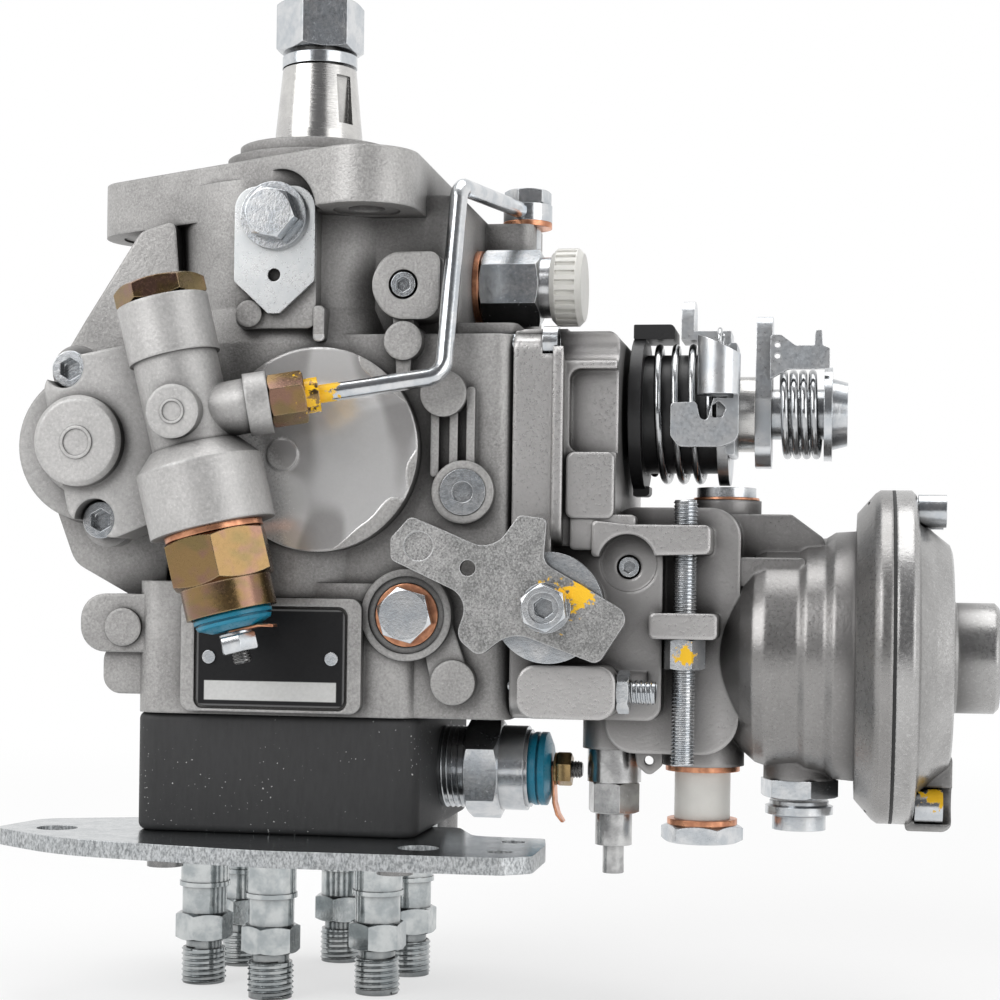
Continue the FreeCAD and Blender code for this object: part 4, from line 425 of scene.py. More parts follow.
@dataclass(frozen=True)
class PlatedSteel(Finish):
    """Turned or pressed steel with a thin plating, painted shade in its recesses, light edges that are partly wear and
    partly painted highlight where asked for, and marking paint where it is smeared.
    """

    colour: Colour = (0.70, 0.71, 0.72)
    tint: Colour = (0.54, 0.57, 0.60)
    gloss: float = 0.22
    streak: Point = (1.0, 1.0, 1.0)
    corner: float = 0.00025
    relief: float = 0.00002
    # Strength of the painted shade in corners and recesses.
    recess_shade: float = 0.45
    sawn: float = 0.0
    speckle: float = 0.0
    # Strength of the light edges, partly wear and partly painted highlight.
    wear_and_highlight: float = 0.0
    splashes: Tuple[Splash, ...] = ()

    def fill(self, desk: Desk) -> None:
        """Add the nodes of the finish.

        Args:
            desk: The material's node tree.
        """
        cloud = desk.noise(0.006, 3.0, 0.6)
        streaks = desk.noise(0.0009, 2.0, 0.6, self.streak)
        # Painted shade: ambient occlusion darkens the colour in corners and recesses.
        painted_shade = ((1.0 - desk.reach(0.005, 6)) * self.recess_shade * 1.6).clipped()
        base = desk.mix(cloud.above(0.5, 0.35), self.colour, self.tint)
        base = desk.mix(painted_shade, base, PLATED_RECESS_SHADE)
        rough = self.gloss + streaks.swing(0.22) + cloud.swing(0.10)
        height = streaks
        if self.speckle:
            grains = desk.noise(0.00045, 2.0, 0.65)
            base = desk.mix(grains.above(0.58, 0.16) * self.speckle, base, (0.80, 0.80, 0.79))
            base = desk.mix((1.0 - grains.above(0.40, 0.16)) * self.speckle * 1.5, base, (0.08, 0.08, 0.08))
            height = height * 0.4 + grains
        # Light rounded edges: partly wear and partly painted highlight.
        if self.wear_and_highlight:
            base = desk.mix((desk.edges(0.0006) * 3.0).clipped() * self.wear_and_highlight, base, BRIGHT_EDGE)
        if self.sawn:
            base, rough = self._sawn_edge(desk, base, rough)
        metal = 1.0
        if self.splashes:
            paint = desk.paint(self.splashes)
            base = desk.mix(paint, base, MARKING_PAINT)
            metal = 1.0 - paint
            rough = rough + paint * 0.2
        normal = desk.bump(height, self.relief, desk.rounded(self.corner))
        desk.surface(Base_Color=base, Roughness=rough.clipped(), Metallic=metal, Normal=normal)

    def _sawn_edge(self, desk: Desk, base: Wire, rough: Wire) -> Tuple[Wire, Wire]:
        """Roughen the upright edges of a level sheet.

        Args:
            desk: The material's node tree.
            base: Colour so far.
            rough: Roughness so far.

        Returns:
            The colour and roughness with the edges' grain.
        """
        facing = desk.node("ShaderNodeNewGeometry", {}, {}, "Normal")
        upright = 1.0 - desk.parts(facing)[2].size().above(0.5, 0.2)
        teeth = desk.noise(0.0006, 3.0, 0.7, (1.0, 1.0, 0.5))
        base = desk.mix(upright * teeth.above(0.50, 0.35) * 0.5, base, (0.12, 0.12, 0.12))
        base = desk.mix(upright * (1.0 - teeth.above(0.50, 0.35)) * 0.5, base, (0.85, 0.86, 0.87))
        return base, rough + upright * self.sawn


@dataclass(frozen=True)
class YellowZinc(Finish):
    """Yellow passivated plating that turns rosy and green in patches."""

    gold: Colour = (0.27, 0.175, 0.080)
    # Colour of the light edges, partly wear and partly painted highlight.
    wear_and_highlight_colour: Colour = (0.86, 0.74, 0.48)
    rose: Colour = (0.26, 0.150, 0.110)
    green: Colour = (0.20, 0.155, 0.070)
    gloss: float = 0.24
    splashes: Tuple[Splash, ...] = (Splash((16.2, -58.3, -65.4), 5.6),)

    def fill(self, desk: Desk) -> None:
        """Add the nodes of the finish.

        Args:
            desk: The material's node tree.
        """
        cloud = desk.noise(0.007)
        patch = desk.noise(0.011, 2.0, 0.5, (1.0, 1.0, 1.6))
        base = desk.mix(cloud.above(0.52, 0.18), self.gold, self.rose)
        base = desk.mix(patch.above(0.58, 0.16) * 0.7, base, self.green)
        # Light rounded edges: partly wear and partly painted highlight.
        wear_and_highlight = desk.edges(0.0006) * 2.0
        base = desk.mix(wear_and_highlight.clipped() * 0.5, base, self.wear_and_highlight_colour)
        scratch = desk.noise(0.0008, 2.0, 0.6)
        rough = (self.gloss + scratch.swing(0.25)).clipped()
        normal = desk.bump(scratch, 0.00002, desk.rounded(0.0004))
        paint = desk.paint(self.splashes)
        base = desk.mix(paint, base, MARKING_PAINT)
        desk.surface(Base_Color=base, Roughness=rough, Metallic=1.0 - paint, Normal=normal)


@dataclass(frozen=True)
class BlackenedBlock(Finish):
    """Blackened steel with a matt rolled skin and bright pinholes."""

    dark: Colour = (0.028, 0.028, 0.029)
    light: Colour = (0.060, 0.060, 0.061)
    pinhole: Colour = (0.55, 0.55, 0.54)
    gloss: float = 0.62

    def fill(self, desk: Desk) -> None:
        """Add the nodes of the finish.

        Args:
            desk: The material's node tree.
        """
        fine = desk.noise(0.0006, 3.0, 0.7)
        drag = desk.noise(0.0012, 2.0, 0.6, (1.0, 1.0, 0.25))
        pins = desk.noise(0.0008, 1.0, 0.5).above(0.735, 0.03) * desk.noise(0.016).above(0.54, 0.10)
        base = desk.mix((fine * 0.6 + drag * 0.5 - 0.05).clipped(), self.dark, self.light)
        base = desk.mix(pins, base, self.pinhole)
        rough = (self.gloss + fine.swing(0.3) - pins * 0.3).clipped()
        normal = desk.bump(fine * 0.6 + drag * 0.4, 0.00010, desk.rounded(0.0008))
        desk.surface(Base_Color=base, Roughness=rough, Metallic=0.35, Normal=normal)


@dataclass(frozen=True)
class Moulded(Finish):
    """Moulded plastic or rubber."""

    colour: Colour = (0.02, 0.02, 0.02)
    gloss: float = 0.45
    glow: float = 0.0
    relief: float = 0.00003

    def fill(self, desk: Desk) -> None:
        """Add the nodes of the finish.

        Args:
            desk: The material's node tree.
        """
        fine = desk.noise(0.0006, 2.0, 0.6)
        cloud = desk.noise(0.008)
        darker = tuple(c * 0.78 for c in self.colour)
        base = desk.mix((cloud * 0.8 + fine * 0.2).clipped(), self.colour, darker)
        rough = (self.gloss + fine.swing(0.2)).clipped()
        normal = desk.bump(fine, self.relief, desk.rounded(0.0003))
        desk.surface(Base_Color=base, Roughness=rough, Metallic=0.0, Normal=normal, Subsurface_Weight=self.glow,
                     Subsurface_Radius=(0.003, 0.003, 0.003))


@dataclass(frozen=True)
class SoftCopper(Finish):
    """Annealed copper with darker, oxidised patches."""

    fresh: Colour = (0.78, 0.38, 0.22)
    dull: Colour = (0.50, 0.22, 0.13)
    gloss: float = 0.32

    def fill(self, desk: Desk) -> None:
        """Add the nodes of the finish.

        Args:
            desk: The material's node tree.
        """
        cloud = desk.noise(0.003, 3.0, 0.6)
        base = desk.mix(cloud.above(0.5, 0.3), self.fresh, self.dull)
        rough = (self.gloss + cloud.swing(0.3)).clipped()
        desk.surface(Base_Color=base, Roughness=rough, Metallic=1.0, Normal=desk.rounded(0.0004))


@dataclass(frozen=True)
class PlateFace(Finish):
    """Bare black name plate with a pale empty field and a thin metal rim, in metres."""

    half_x: float = 0.0205
    low: float = -0.1483
    high: float = -0.122
    rim_width: float = 0.0005
    blur: float = 0.0003
    field_half_x: float = 0.0183
    field_half_z: float = 0.0026
    field_lift: float = 0.0042
    gloss: float = 0.40

    def fill(self, desk: Desk) -> None:
        """Add the nodes of the finish.

        Args:
            desk: The material's node tree.
        """
        x, _, z = desk.axes()
        side = (x.size() - (self.half_x - self.rim_width)).above(0.0, self.blur)
        top = (z - (self.high - self.rim_width)).above(0.0, self.blur)
        foot = ((self.low + self.rim_width) - z).above(0.0, self.blur)
        rim = side.most(top.most(foot))
        field_x = 1.0 - (x.size() - self.field_half_x).above(0.0, self.blur)
        field_z = 1.0 - ((z - (self.low + self.field_lift)).size() - self.field_half_z).above(0.0, self.blur)
        scuffs = desk.noise(0.0009, 3.0, 0.6)
        black = desk.mix(scuffs, (0.005, 0.005, 0.006), (0.012, 0.012, 0.013))
        pale = desk.mix(scuffs, (0.62, 0.62, 0.61), (0.48, 0.48, 0.47))
        base = desk.mix(field_x * field_z, black, pale)
        base = desk.mix(rim * 0.35, base, (0.30, 0.30, 0.30))
        rough = (self.gloss + scuffs.swing(0.2)).clipped()
        desk.surface(Base_Color=base, Roughness=rough, Specular_IOR_Level=0.25,
                     Normal=desk.bump(scuffs, 0.00001, desk.rounded(0.0003)))


class Shop:
    """All finishes used on the pump."""

    housing = CastMetal("Housing casting", light=(0.54, 0.53, 0.52), dark=(0.25, 0.245, 0.24), gloss=0.42,
                        pad_centre=(12.0, -43.2, -79.0), pad_radius=27.0)
    timing = CastMetal("Timing cover casting", light=(0.58, 0.57, 0.56), dark=(0.36, 0.355, 0.35), grain=0.0009,
                       relief=0.00010, gloss=0.44)
    cover = CastMetal("Governor cover casting", light=(0.39, 0.38, 0.375), dark=(0.20, 0.195, 0.19), grain=0.0009,
                      relief=0.00008, corner=0.0014, metal=0.85, gloss=0.29, fleck=0.5, drag=(1.0, 1.0, 0.45),
                      pale_until=124.0, pale_share=0.43)
    boost = CastMetal("Boost cover casting", light=(0.58, 0.575, 0.57), dark=(0.22, 0.215, 0.21), grain=0.0010,
                      relief=0.00006, corner=0.0012, metal=0.92, gloss=0.25, fleck=0.5, drag=(1.0, 1.0, 0.4))
    zinc = PlatedSteel("Zinc plated steel")
    screw = PlatedSteel("Zinc plated screws", splashes=(Splash((111.0, -35.0, -133.0), 2.6),))
    cover_screw = PlatedSteel("Zinc plated socket screws", splashes=(Splash((177.0, -11.0, -171.0), 3.4),))
    pipe = PlatedSteel("Zinc plated pipe", gloss=0.20, splashes=(Splash((17.5, -57.5, -65.3), 3.6),))
    valve = PlatedSteel("Zinc plated valve holders", colour=(0.58, 0.60, 0.60), tint=(0.38, 0.41, 0.42), gloss=0.17,
                        recess_shade=0.8)
    plate = PlatedSteel("Zinc plated sheet", colour=(0.45, 0.47, 0.48), tint=(0.36, 0.385, 0.40), gloss=0.20,
                        relief=0.00001, sawn=0.25, recess_shade=0.3)
    pressed = PlatedSteel("Zinc plated levers", colour=(0.76, 0.77, 0.78), tint=(0.62, 0.65, 0.68), gloss=0.32,
                          relief=0.00001, recess_shade=0.7, wear_and_highlight=0.4)
    sheet = PlatedSteel("Smooth zinc sheet", colour=(0.74, 0.75, 0.755), tint=(0.66, 0.68, 0.69), gloss=0.30,
                        relief=0.000003, recess_shade=0.4)
    lever = PlatedSteel("Grey phosphated sheet", colour=(0.44, 0.435, 0.43), tint=(0.30, 0.30, 0.295), gloss=0.38,
                        relief=0.00010, speckle=0.32, wear_and_highlight=0.8,
                        splashes=(Splash((84.2, -52.5, -117.0), 3.3), Splash((77.0, -52.0, -119.5), 5.2)))
    stop_nut = PlatedSteel("Zinc plated stop nut", splashes=(Splash((82.2, -54.0, -116.0), 2.6),))
    spring = PlatedSteel("Spring steel", colour=(0.58, 0.59, 0.60), tint=(0.40, 0.41, 0.42), gloss=0.16)
    ground = PlatedSteel("Ground steel", colour=(0.66, 0.65, 0.63), tint=(0.56, 0.55, 0.54), gloss=0.24,
                         streak=(0.3, 0.3, 3.0))
    grey = PlatedSteel("Turned grey steel", colour=(0.30, 0.295, 0.29), tint=(0.20, 0.20, 0.20), gloss=0.28)
    rod = PlatedSteel("Bright turned steel", colour=(0.56, 0.56, 0.555), tint=(0.36, 0.36, 0.36), gloss=0.22)
    brass = PlatedSteel("Dark brass", colour=(0.40, 0.28, 0.13), tint=(0.26, 0.18, 0.09), gloss=0.30)
    bronze = PlatedSteel("Bearing bronze", colour=(0.62, 0.44, 0.22), tint=(0.50, 0.35, 0.18), gloss=0.35)
    gold = YellowZinc("Yellow zinc plating")
    black = BlackenedBlock("Blackened steel")
    copper = SoftCopper("Soft copper")
    blue = Moulded("Blue insulator", colour=(0.012, 0.23, 0.36), gloss=0.30)
    white = Moulded("White plastic", colour=(0.80, 0.79, 0.75), gloss=0.42, glow=0.25)
    dark = Moulded("Black plastic", colour=(0.018, 0.018, 0.019), gloss=0.40)
    rubber = Moulded("Black rubber", colour=(0.016, 0.016, 0.016), gloss=0.62, relief=0.00006)
    face = PlateFace("Bare name plate")


NODE_FINISH: Dict[str, Finish] = {
    "pump_housing": Shop.housing, "timing_cover": Shop.timing, "timing_end_cover": Shop.timing,
    "governor_cover": Shop.cover, "boost_cover": Shop.boost, "cover_screws": Shop.cover_screw,
    "yellow_fittings": Shop.gold, "cold_start_solenoid": Shop.gold, "terminal_insulators": Shop.blue,
    "terminals": Shop.zinc, "bypass_pipe": Shop.pipe, "plugs": Shop.zinc, "inlet_fitting": Shop.zinc,
    "inlet_cap": Shop.white, "copper_washers": Shop.copper, "shaft_lock_screw": Shop.zinc,
    "shaft_lock_plate": Shop.sheet, "name_plate": Shop.face, "distributor_head": Shop.black,
    "head_screws": Shop.grey, "delivery_valves": Shop.valve, "rear_bracket": Shop.plate,
    "stop_solenoid": Shop.zinc, "adjusting_screws": Shop.screw, "full_load_screw": Shop.rod,
    "return_bolt": Shop.zinc, "return_sleeve": Shop.white, "boost_nipple": Shop.zinc,
    "boost_diaphragm": Shop.rubber, "spring_bush": Shop.dark, "return_springs": Shop.spring,
    "shaft_seal": Shop.rubber, "shaft_bush": Shop.bronze, "end_cap": Shop.zinc, "throttle_levers": Shop.pressed,
    "spring_carrier": Shop.pressed, "torsion_spring": Shop.spring, "stop_lever": Shop.lever,
    "stop_lever_shaft": Shop.stop_nut, "shaft_nut": Shop.zinc, "plunger_springs": Shop.spring,
    "timing_spring": Shop.spring, "boost_spring": Shop.spring,
}


@dataclass(frozen=True)
class Seat:
    """Where a new piece stands, in millimetres, and which way it points."""

    start: Point
    toward: Point

    def matrix(self) -> Matrix:
        """Move from the bench to the pump."""
        turn = Vector(self.toward).to_track_quat("Z", "Y").to_matrix().to_4x4()
        return Matrix.Translation(Vector(self.start) * MM) @ turn

    def further(self, distance: float) -> "Seat":
        """The seat moved on along its direction, by a distance in millimetres."""
        step = Vector(self.toward).normalized() * distance
        return Seat(tuple(Vector(self.start) + step), self.toward)


class Bench:
    """Modelling moves that all new pieces share, along Z and in millimetres."""

    @staticmethod
    def clear() -> None:
        """Leave edit mode with nothing selected."""
        if bpy.context.object is not None and bpy.context.object.mode != "OBJECT":
            bpy.ops.object.mode_set(mode="OBJECT")
        bpy.ops.object.select_all(action="DESELECT")

    @staticmethod
    def closed() -> bpy.types.Object:
        """Merge doubles, close holes and turn the faces of the edited piece outwards.

        Returns:
            The piece, out of edit mode.
        """
        if bpy.context.object.mode != "EDIT":
            bpy.ops.object.mode_set(mode="EDIT")
        bpy.ops.mesh.select_all(action="SELECT")
        bpy.ops.mesh.remove_doubles(threshold=WELD)
        bpy.ops.mesh.fill_holes(sides=0)
        bpy.ops.mesh.select_all(action="SELECT")
        bpy.ops.mesh.normals_make_consistent(inside=False)
        bpy.ops.object.mode_set(mode="OBJECT")
        bpy.ops.object.shade_smooth_by_angle(angle=math.radians(SMOOTH_ANGLE))
        return bpy.context.object

    @classmethod
    def stack(cls, steps: Sequence[Tuple[float, float]], sides: int = 48, turn: float = 0.0) -> bpy.types.Object:
        """Extrude a disc upwards through a row of levels.

        Args:
            steps: Height and radius of each level.
            sides: Number of sides, six for a hexagon.
            turn: Turn about the axis, in degrees.

        Returns:
            The closed piece, still at the bench.
        """
        cls.clear()
        level, radius = steps[0]
        bpy.ops.mesh.primitive_circle_add(vertices=sides, radius=radius * MM, fill_type="NGON",
                                          location=(0.0, 0.0, level * MM), rotation=(0.0, 0.0, math.radians(turn)))
        bpy.ops.object.transform_apply(location=True, rotation=True, scale=True)
        bpy.ops.object.mode_set(mode="EDIT")
        bpy.ops.mesh.select_all(action="SELECT")
        for height, width in steps[1:]:
            lift = (0.0, 0.0, (height - level) * MM)
            bpy.ops.mesh.extrude_region_move(TRANSFORM_OT_translate={"value": lift})
            if width != radius:
                share = width / radius
                bpy.ops.transform.resize(value=(share, share, 1.0), center_override=(0.0, 0.0, height * MM))
            level, radius = height, width
        return cls.closed()

    @classmethod
    def helix(cls, radius: float, wire: float, pitch: float, turns: float, sides: int = 10,
              steps: int = 28) -> bpy.types.Object:
        """Wind a round wire or a ridge up along Z.

        Args:
            radius: Radius of the wire's middle.
            wire: Radius of the wire itself.
            pitch: Rise of one turn.
            turns: Number of turns.
            sides: Sides of the wire, four for a sharp ridge.
            steps: Steps of one turn.

        Returns:
            The closed piece, still at the bench.
        """
        cls.clear()
        bpy.ops.mesh.primitive_circle_add(vertices=sides, radius=wire * MM, fill_type="NOTHING",
                                          location=(radius * MM, 0.0, 0.0), rotation=(math.pi / 2, 0.0, 0.0))
        bpy.ops.object.transform_apply(location=True, rotation=True, scale=True)
        piece = bpy.context.object
        screw = piece.modifiers.new("Turns", "SCREW")
        screw.axis, screw.iterations = "Z", 1
        screw.angle, screw.screw_offset = 2 * math.pi * turns, pitch * turns * MM
        screw.steps = screw.render_steps = max(3, round(steps * turns))
        bpy.ops.object.modifier_apply(modifier="Turns")
        return cls.closed()

    @classmethod
    def strip(cls, length: float, width: float, thickness: float, bends: Sequence[Tuple[float, float]],
              round_end: float) -> bpy.types.Object:
        """Draw a flat strip out along X and bend it.

        Args:
            length: Length of its first run.
            width: Width along Y.
            thickness: Thickness along Z.
            bends: Steps in X and Z that its end is drawn on by.
            round_end: Radius of the corners.

        Returns:
            The closed piece, still at the bench.
        """
        cls.clear()
        bpy.ops.mesh.primitive_plane_add(size=1.0)
        piece = bpy.context.object
        piece.scale = (thickness * MM, width * MM, 1.0)
        piece.rotation_euler = (0.0, math.pi / 2, 0.0)
        bpy.ops.object.transform_apply(location=True, rotation=True, scale=True)
        bpy.ops.object.mode_set(mode="EDIT")
        bpy.ops.mesh.select_all(action="SELECT")
        for along, up in [(length, 0.0), *bends]:
            bpy.ops.mesh.extrude_region_move(TRANSFORM_OT_translate={"value": (along * MM, 0.0, up * MM)})
        bpy.ops.transform.resize(value=(1.0, STRIP_TAPER, 1.0), center_override=(0.0, 0.0, 0.0))
        piece = cls.closed()
        bevel = piece.modifiers.new("Corners", "BEVEL")
        bevel.width, bevel.segments, bevel.limit_method = round_end * MM, 2, "ANGLE"
        bpy.ops.object.modifier_apply(modifier="Corners")
        return piece

    @classmethod
    def settle(cls, piece: bpy.types.Object, matrix: Matrix) -> None:
        """Move a piece from the bench into place, with the place in its mesh.

        Args:
            piece: The piece at the bench.
            matrix: Where it goes.
        """
        cls.clear()
        piece.select_set(True)
        bpy.context.view_layer.objects.active = piece
        piece.matrix_world = matrix
        bpy.ops.object.transform_apply(location=True, rotation=True, scale=True)

    @classmethod
    def twin(cls, piece: bpy.types.Object) -> bpy.types.Object:
        """Copy a piece together with its mesh.

        Args:
            piece: The piece to copy.

        Returns:
            The copy.
        """
        cls.clear()
        piece.select_set(True)
        bpy.context.view_layer.objects.active = piece
        bpy.ops.object.duplicate(linked=False)
        return bpy.context.object


@dataclass
class SubAssembly:
    """A group of new pieces that ride on one body."""

    body: str = "housing"

    def keep(self, piece: bpy.types.Object, place: Matrix, name: str, finish: Finish) -> bpy.types.Object:
        """Place, name, dress and attach a finished piece.

        Args:
            piece: The piece, still at the bench.
            place: Where it goes.
            name: Its name.
            finish: Its finish.

        Returns:
            The same piece.
        """
        Bench.settle(piece, place)
        piece.name = piece.data.name = name
        piece.data.materials.clear()
        piece.data.materials.append(finish.make())
        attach(piece, self.body)
        log.info("built %s: %d faces", name, len(piece.data.polygons))
        return piece

    def build(self) -> None:
        """Build every piece of the group."""
        raise NotImplementedError


@dataclass(frozen=True)
class Thread:
    """A rolled thread, in millimetres."""

    name: str
    start: Point
    along: Along
    radius: float
    ridge: float
    pitch: float
    length: float
    steps: int
    finish: Finish


@dataclass
class Threads(SubAssembly):
    """Rolled threads; unless told otherwise, those of the adjusting screws and the stop solenoid."""

    threads: Tuple[Thread, ...] = (
        Thread("speed_screw_thread", (110.0, -30.0, -162.0), Along.Z, radius=2.88, ridge=0.42, pitch=1.0,
               length=70.4, steps=20, finish=Shop.screw),
        Thread("stop_screw_thread", (96.9, -41.0, -142.4), Along.X, radius=2.88, ridge=0.50, pitch=1.25,
               length=6.4, steps=24, finish=Shop.screw),
        Thread("solenoid_thread", (39.9, 0.0, -166.6), Along.X, radius=11.3, ridge=0.42, pitch=1.5,
               length=6.6, steps=48, finish=Shop.zinc),
    )

    def build(self) -> None:
        """Wind and place every thread."""
        for thread in self.threads:
            ridge = Bench.helix(thread.radius, thread.ridge, thread.pitch, thread.length / thread.pitch,
                                sides=RIDGE_SIDES, steps=thread.steps)
            self.keep(ridge, Seat(thread.start, thread.along.value).matrix(), thread.name, thread.finish)


@dataclass
class ValveThreads(SubAssembly):
    """Pipe threads and grooves of the six delivery valve holders."""

    circle: float = 30.0
    first: float = 24.8
    count: int = 6
    radius: float = 5.9
    ridge: float = 0.5
    pitch: float = 1.5
    bottom: float = -228.4
    length: float = 9.2
    collar_z: float = -201.4
    collar_radius: float = 7.15
    collar_inner: float = 6.2
    collar_height: float = 1.3

    def build(self) -> None:
        """Build one thread and one collar, and copy them round the circle."""
        turns = self.length / self.pitch
        thread = Bench.helix(self.radius, self.ridge, self.pitch, turns, sides=RIDGE_SIDES, steps=30)
        wide, bore, high = self.collar_radius, self.collar_inner, self.collar_height
        collar = Bench.stack(((0.0, bore), (0.0, wide), (high, wide), (high, bore)))
        for index in range(self.count):
            angle = math.radians(self.first + 360.0 / self.count * index)
            x, y = self.circle * math.cos(angle), self.circle * math.sin(angle)
            turn = Matrix.Rotation(angle, 4, "Z")
            for model, level, name in ((thread, self.bottom, "valve_thread"), (collar, self.collar_z, "valve_collar")):
                place = Matrix.Translation(Vector((x, y, level)) * MM) @ turn
                self.keep(Bench.twin(model), place, "%s_%d" % (name, index + 1), Shop.valve)
        for model in (thread, collar):
            bpy.data.objects.remove(model, do_unlink=True)


@dataclass
class Terminal(SubAssembly):
    """Insulator, copper tab, washer, nut and threaded stud at the end of one solenoid."""

    name: str = "cold_start"
    seat: Seat = Seat((-5.762, -61.0, -122.936), (0.2406, 0.0, -0.9706))
    insulator: Sequence[Tuple[float, float]] = ((0.0, 9.8), (0.5, 10.4), (1.5, 10.4), (1.5, 9.3), (2.1, 9.3),
                                                (2.1, 10.1), (3.0, 9.7), (4.4, 6.5))
    tab_side: Point = (0.9706, 0.0, 0.2406)
    tab_length: float = 8.0
    tab_bend: Sequence[Tuple[float, float]] = ((3.6, 1.0),)
    tab_width: float = 6.6
    tab_thickness: float = 0.8
    tab_corner: float = 0.25
    tab_start: Point = (-1.0, 0.0, 0.45)
    washer_low: float = 0.85
    washer_top: float = 1.5
    washer_radius: float = 4.6
    nut_radius: float = 5.2
    nut_height: float = 4.6
    nut_chamfer: float = 0.45
    stud_radius: float = 2.2
    stud_thread: float = 2.4
    ridge: float = 0.3
    pitch: float = 0.8
    nut: Finish = field(default_factory=lambda: Shop.zinc)

    def build(self) -> None:
        """Build the pieces and put them in place of the plain ones."""
        blue = self.keep(Bench.stack(self.insulator), self.seat.matrix(), self.name + "_insulator", Shop.blue)
        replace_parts(blue, "terminal_insulators")
        face = self.seat.further(self.insulator[-1][0])
        z_axis = Vector(self.seat.toward).normalized()
        x_axis = Vector(self.tab_side).normalized()
        turned = Matrix((x_axis, z_axis.cross(x_axis), z_axis)).transposed().to_4x4()
        place = Matrix.Translation(Vector(face.start) * MM) @ turned
        tab = Bench.strip(self.tab_length, self.tab_width, self.tab_thickness, self.tab_bend, self.tab_corner)
        place = place @ Matrix.Translation(Vector(self.tab_start) * MM)
        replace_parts(self.keep(tab, place, self.name + "_tab", Shop.copper), "terminals")
        low = self.washer_top
        washer = Bench.stack(((self.washer_low, self.washer_radius), (low, self.washer_radius)))
        self.keep(washer, face.matrix(), self.name + "_washer", self.nut)
        high, wide, rim, edge = low + self.nut_height, self.nut_radius, self.nut_radius * 0.93, self.nut_chamfer
        nut = Bench.stack(((low, rim), (low + edge, wide), (high - edge, wide), (high, rim)), sides=6, turn=10)
        self.keep(nut, face.matrix(), self.name + "_nut", self.nut)
        stud = Bench.stack(((0.0, self.stud_radius), (high + 2.6, self.stud_radius), (high + 3.0, 1.8)))
        self.keep(stud, face.matrix(), self.name + "_stud", Shop.grey)
        turns = self.stud_thread / self.pitch
        thread = Bench.helix(self.stud_radius, self.ridge, self.pitch, turns, sides=RIDGE_SIDES, steps=20)
        self.keep(thread, face.further(high).matrix(), self.name + "_stud_thread", Shop.grey)


@dataclass
class HousingSprings(SubAssembly):
    """Return springs round the throttle bush and behind the stop lever."""

    bush_radius: float = 18.6
    bush_wire: float = 1.1
    bush_start: Point = (97.9, 0.0, -66.0)
    bush_length: float = 17.6
    bush_turns: float = 3.75
    stop_radius: float = 12.4
    stop_wire: float = 0.9
    stop_start: Point = (75.8, -39.6, -120.5)
    stop_pitch: float = 2.15
    stop_turns: float = 2.4

    def build(self) -> None:
        """Wind both springs in place of the coarse ones."""
        pitch = self.bush_length / self.bush_turns
        coil = Bench.helix(self.bush_radius, self.bush_wire, pitch, self.bush_turns, sides=12, steps=48)
        turn = Seat(self.bush_start, Along.X.value).matrix() @ Matrix.Rotation(math.radians(-60), 4, "Z")
        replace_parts(self.keep(coil, turn, "throttle_return_spring", Shop.spring), "return_springs")
        small = Bench.helix(self.stop_radius, self.stop_wire, self.stop_pitch, self.stop_turns, sides=10, steps=40)
        place = Seat(self.stop_start, (0.0, -1.0, 0.0)).matrix()
        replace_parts(self.keep(small, place, "stop_lever_spring", Shop.spring), "return_springs")


@dataclass(frozen=True)
class Squeezed:
    """A spring between two seats, in millimetres; a joint pushes its start, or its end where far_seat is unset."""

    node: str
    joint: str
    start: Point
    along: Along
    radius: float
    wire: float
    length: float
    turns: float
    travel: float
    far_seat: bool


@dataclass
class InnerSprings(SubAssembly):
    """Springs of the timing piston and of the boost pin."""

    springs: Tuple[Squeezed, ...] = (
        Squeezed("timing_spring", "timing_piston_slide", (-49.5, 10.4, -78.5), Along.Y, radius=7.5, wire=1.3,
                 length=30.3, turns=5.0, travel=6.1, far_seat=True),
        Squeezed("boost_spring", "boost_pin_slide", (143.35, 0.0, -133.0), Along.X, radius=11.0, wire=1.2,
                 length=18.4, turns=4.0, travel=4.1, far_seat=False),
    )

    def build(self) -> None:
        """Wind both springs, each with its own mesh, in place of the plain ones."""
        for spring in self.springs:
            coil = Bench.helix(spring.radius, spring.wire, spring.length / spring.turns, spring.turns)
            place = Seat(spring.start, spring.along.value).matrix()
            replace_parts(self.keep(coil, place, spring.node + "_wire", Shop.spring), spring.node)
            seat = spring.length + spring.wire if spring.far_seat else -spring.wire
            anchor = tuple((s + a * seat) * MM for s, a in zip(spring.start, spring.along.value))
            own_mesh(coil)


@dataclass
class ThrottleWires(SubAssembly):
    """Torsion spring of the outer lever and the wire loop in the spring carrier."""

    body: str = "throttle"
    radius: float = 11.4
    wire: float = 1.1
    start: Point = (133.8, 0.0, -66.0)
    length: float = 10.6
    turns: float = 4.0
    loop_middle: Point = (118.2, -27.4, -48.6)
    loop_radius: float = 3.0
    loop_wire: float = 0.65
    loop_rise: float = 0.5
    loop_turns: float = 1.12
    loop_stretch: float = 1.45

    def build(self) -> None:
        """Wind the spring and bend the loop."""
        coil = Bench.helix(self.radius, self.wire, self.length / self.turns, self.turns, sides=12, steps=40)
        place = Seat(self.start, Along.X.value).matrix()
        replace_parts(self.keep(coil, place, "torsion_spring_wire", Shop.spring), "torsion_spring")
        loop = Bench.helix(self.loop_radius, self.loop_wire, self.loop_rise, self.loop_turns, sides=10, steps=36)
        place = Seat(self.loop_middle, Along.X.value).matrix() @ Matrix.Diagonal((self.loop_stretch, 1.0, 1.0, 1.0))
        self.keep(loop, place, "carrier_loop", Shop.spring)


